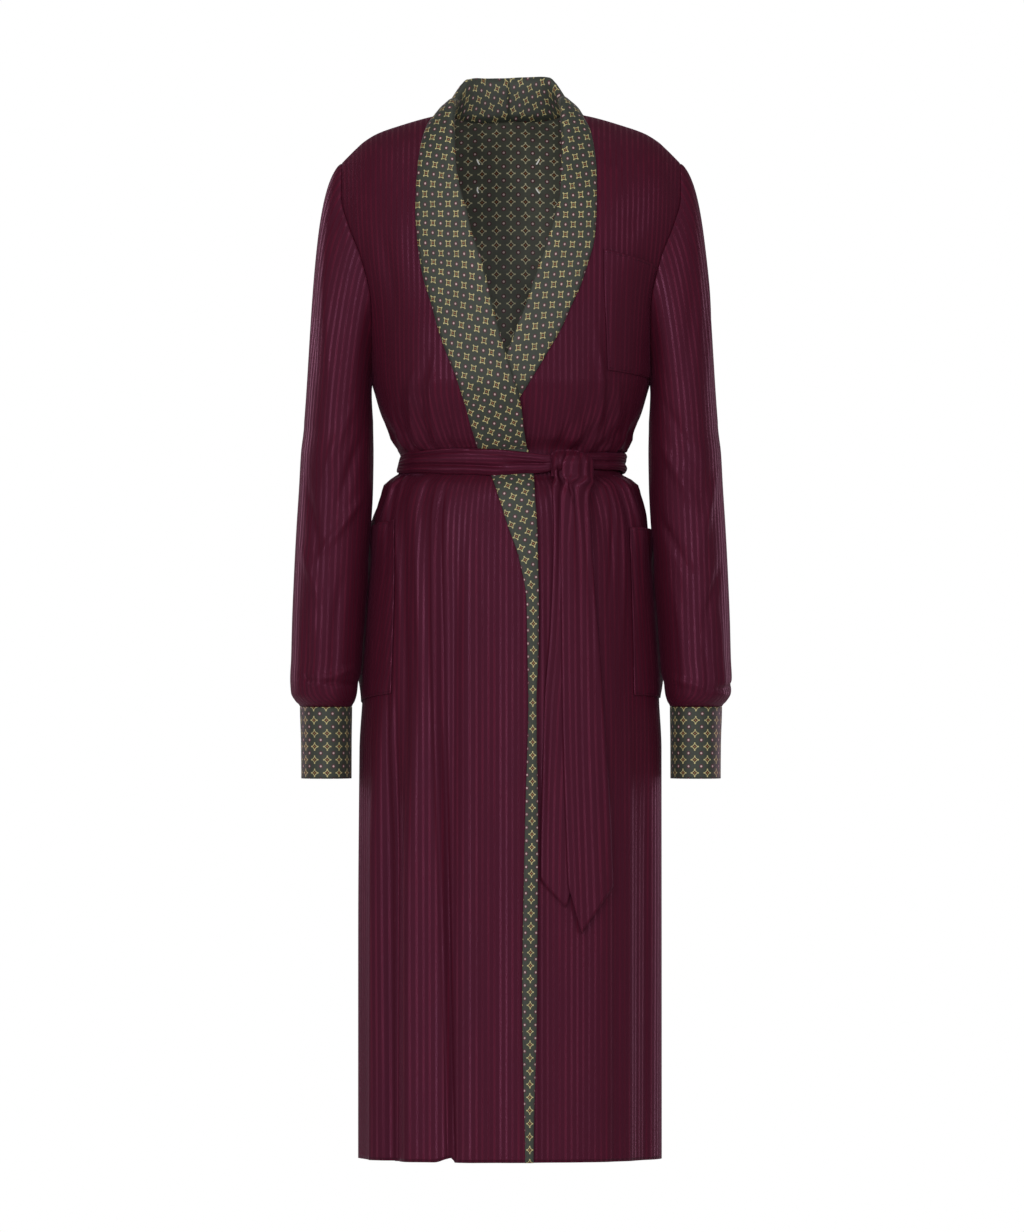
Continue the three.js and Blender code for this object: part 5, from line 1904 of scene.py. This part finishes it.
    def tail(
        self,
        rows: dict[str, np.ndarray],
        top: float,
        shoulders: float,
        point: float,
        tip: float,
        folds: dict[str, np.ndarray],
    ) -> Cloth:
        """The grid of one tail.

        Args:
            rows: Its edges and lift by height.
            top: Where it starts.
            shoulders: Where its straight sides end.
            point: The height of its tip.
            tip: The share of its width at which the tip lies.
            folds: Lengthwise ridges and troughs by place across, width and height.

        Returns:
            Its grid from the top down.
        """
        share = np.linspace(0, 1, self.tail_columns + 1)[None, :]
        peak = np.where(share < tip, share / tip, (1 - share) / (1 - tip))
        end = lerp(shoulders, point, peak)
        down = np.linspace(0, 1, self.tail_rows + 1)[:, None] ** self.tail_crowding
        height = lerp(top, end, down)
        left, right, lift = tracks(rows, "height", height, "left", "right", "lift")
        x = lerp(left, right, share)
        theta = self.figure.angle_of(x, height, Half.FRONT)
        cloth = self.figure.cloth(theta, height, Half.FRONT)
        rounding = np.sqrt(np.maximum(0, 1 - np.abs(2 * share - 1) ** 8))
        out = lift + self.tail_thick * (self.tail_edge + (1 - self.tail_edge) * rounding)
        out = out - self.tail_drop * share**6 * smoothstep(*self.tail_turns, height)
        for low, high, width, tall in zip(*folds.values()):
            crease = np.exp(-(((share - lerp(high, low, down)) / width) ** 2))
            kept = lerp(1, self.tail_slack, smoothstep(0, self.tail_settles, down))
            out = out + tall * crease * rounding * kept
        away = cloth.normals.copy()
        away[..., 2] = 0
        plain = self.figure.point(theta, height, folded=False)
        follows = smoothstep(*self.tail_follows, height)[..., None]
        points = lerp(plain, cloth.points, follows) + unit(away) * out[..., None]
        flat = np.stack([x - x[:, :1], height], -1)
        return Cloth(points, -grid_normals(points), flat)

    def build(self, finishes: Finishes) -> None:
        """Makes the wrap, the knot and the tails."""
        right_folds = table(
            "low high width height",
            (0.16, 0.42, 0.08, 1.2),
            (0.40, 0.58, 0.05, -1.0),
            (0.62, 0.70, 0.07, 0.9),
            (0.84, 0.82, 0.05, -1.0),
            (0.95, 0.94, 0.05, 1.4),
        )
        left_folds = table(
            "low high width height",
            (0.12, 0.14, 0.08, 0.9),
            (0.34, 0.30, 0.07, -0.9),
            (0.60, 0.50, 0.09, 0.9),
        )
        left = self.tail(TAIL_LEFT, top=-384, shoulders=-830, point=-861, tip=0.78, folds=left_folds)
        right = self.tail(TAIL_RIGHT, top=-363.5, shoulders=-836, point=-890, tip=0.26, folds=right_folds)
        pieces = (
            ("belt_wrap", self.wrap(), self.wrap_cut, self.wrap_layers),
            ("belt_knot", self.knot(), self.knot_cut, self.wrap_layers),
            ("belt_tail_left", left, self.left_cut, self.tail_layers),
            ("belt_tail_right", right, self.right_cut, self.tail_layers),
        )
        for name, cloth, cut, thickness in pieces:
            piece = cloth_object(f"{name}_cloth", cloth, around=name == "belt_wrap")
            thicken(piece, thickness)
            Sewn.dress(piece, finishes.cloth, Slot.STRIPED, name, cut)


@dataclass
class Studio:
    """Camera, lights, pale floor and white surroundings."""

    aim: tuple[float, float] = (1.1, -543.4)
    distance: float = 12.0
    lens: float = 318.8
    floor_z: float = -1.32
    floor_half: float = 1.6
    surround: float = 0.13  # how bright the white surroundings are as a light
    lamps: tuple = (
        ("key_light", (-1.9, -4.6, 1.5), 1.5, 52),
        ("front_light", (0.1, -5.8, 0.5), 1.1, 48),
        ("fill_light", (3.2, -3.6, 0.6), 2.0, 30),
        ("top_light", (0, -0.8, 3.0), 1.8, 15),
        ("low_light", (-3.6, -2.8, -0.7), 1.6, 17),
        ("rim_left", (-2.4, 1.9, 0.2), 1.4, 13, (1, 0.5, 0.75)),
        ("rim_right", (2.4, 1.9, -0.6), 1.4, 10, (1, 0.5, 0.75)),
    )

    def light(
        self, target: Vector, name: str, place: tuple, size: float, power: float, colour: tuple = (1, 1, 1)
    ) -> None:
        """Adds one soft lamp that faces the coat.

        Args:
            target: The point that it faces.
            name: The lamp's name.
            place: Where it stands, in metres.
            size: The side of its square.
            power: Its watts.
            colour: The colour of its light.
        """
        data = bpy.data.lights.new(name, "AREA")
        data.size = size
        data.energy = power
        data.color = colour
        lamp = linked(name, data)
        lamp.location = place
        lamp.rotation_euler = (target - Vector(place)).to_track_quat("-Z", "Y").to_euler()

    def surroundings(self) -> bpy.types.World:
        """White to look at, and dimmer as a light."""
        world = bpy.data.worlds.new("surroundings")
        world.use_nodes = True
        tree = world.node_tree
        sky = tree.nodes["Background"]
        seen = tree.nodes.new("ShaderNodeLightPath").outputs["Is Camera Ray"]
        strength = tree.nodes.new("ShaderNodeMapRange")
        strength.inputs["To Min"].default_value = self.surround
        tree.links.new(seen, strength.inputs["Value"])
        tree.links.new(strength.outputs[0], sky.inputs["Strength"])
        sky.inputs["Color"].default_value = (1, 1, 1, 1)
        return world

    def build(self) -> None:
        """Sets the studio up."""
        scene = bpy.context.scene
        target = Vector((self.aim[0] * MM, 0, self.aim[1] * MM))
        data = bpy.data.cameras.new("camera")
        data.lens = self.lens
        data.sensor_width = 36
        data.clip_end = 100
        camera = linked("camera", data)
        camera.location = target - Vector((0, self.distance, 0))
        camera.rotation_euler = (math.pi / 2, 0, 0)
        scene.camera = camera
        for lamp in self.lamps:
            self.light(target, *lamp)
        bm = bmesh.new()
        bmesh.ops.create_grid(bm, x_segments=2, y_segments=2, size=self.floor_half)
        mesh = bpy.data.meshes.new("floor")
        bm.to_mesh(mesh)
        bm.free()
        mesh.transform(Matrix.Translation((0, 0, self.floor_z)))
        mesh.materials.append(StudioPaper().material())
        linked("floor", mesh)
        scene.world = self.surroundings()
        scene.view_settings.view_transform = "Standard"
        LOG.info("studio ready")


def pockets() -> list[PatchPocket]:
    """The three patch pockets."""
    return [
        PatchPocket(
            "pocket_chest",
            Side.LEFT,
            table("height x", (-287, 105), (-150, 101)),
            (-143, -150),
            (-275, -284),
            margin=1.5,
            gape=1.5,
            slant=0,
            cut=Cut(0.068, 0.141, 0.99, "hung", ("front_left",)),
        ),
        PatchPocket(
            "pocket_hip_right",
            Side.RIGHT,
            table("height x", (-640, -130), (-540, -127), (-440, -125)),
            (-438, -449),
            (-628, -640),
            margin=1.0,
            gape=2.0,
            slant=14,
            cut=Cut(0.105, 0.197, 0.99, "hung", ("front_right",)),
        ),
        PatchPocket(
            "pocket_hip_left",
            Side.LEFT,
            table("height x", (-640, 135), (-540, 133), (-440, 131)),
            (-446, -450),
            (-630, -634),
            margin=1.0,
            gape=3.0,
            slant=-5,
            cut=Cut(0.098, 0.189, 0.99, "hung", ("front_left",)),
        ),
    ]


def main() -> None:
    """Builds the coat and its studio."""
    logging.basicConfig(level=logging.INFO)
    finishes = Finishes()
    figure = Figure()
    back = Back(figure)
    back.build(finishes)
    Fronts(figure).build(finishes)
    ShawlCollar(figure, back).build(finishes)
    Sleeves(figure).build(finishes)
    for pocket in pockets():
        pocket.build(figure, finishes)
    TieBelt(figure).build(finishes)
    Studio().build()


if __name__ == "__main__":
    main()
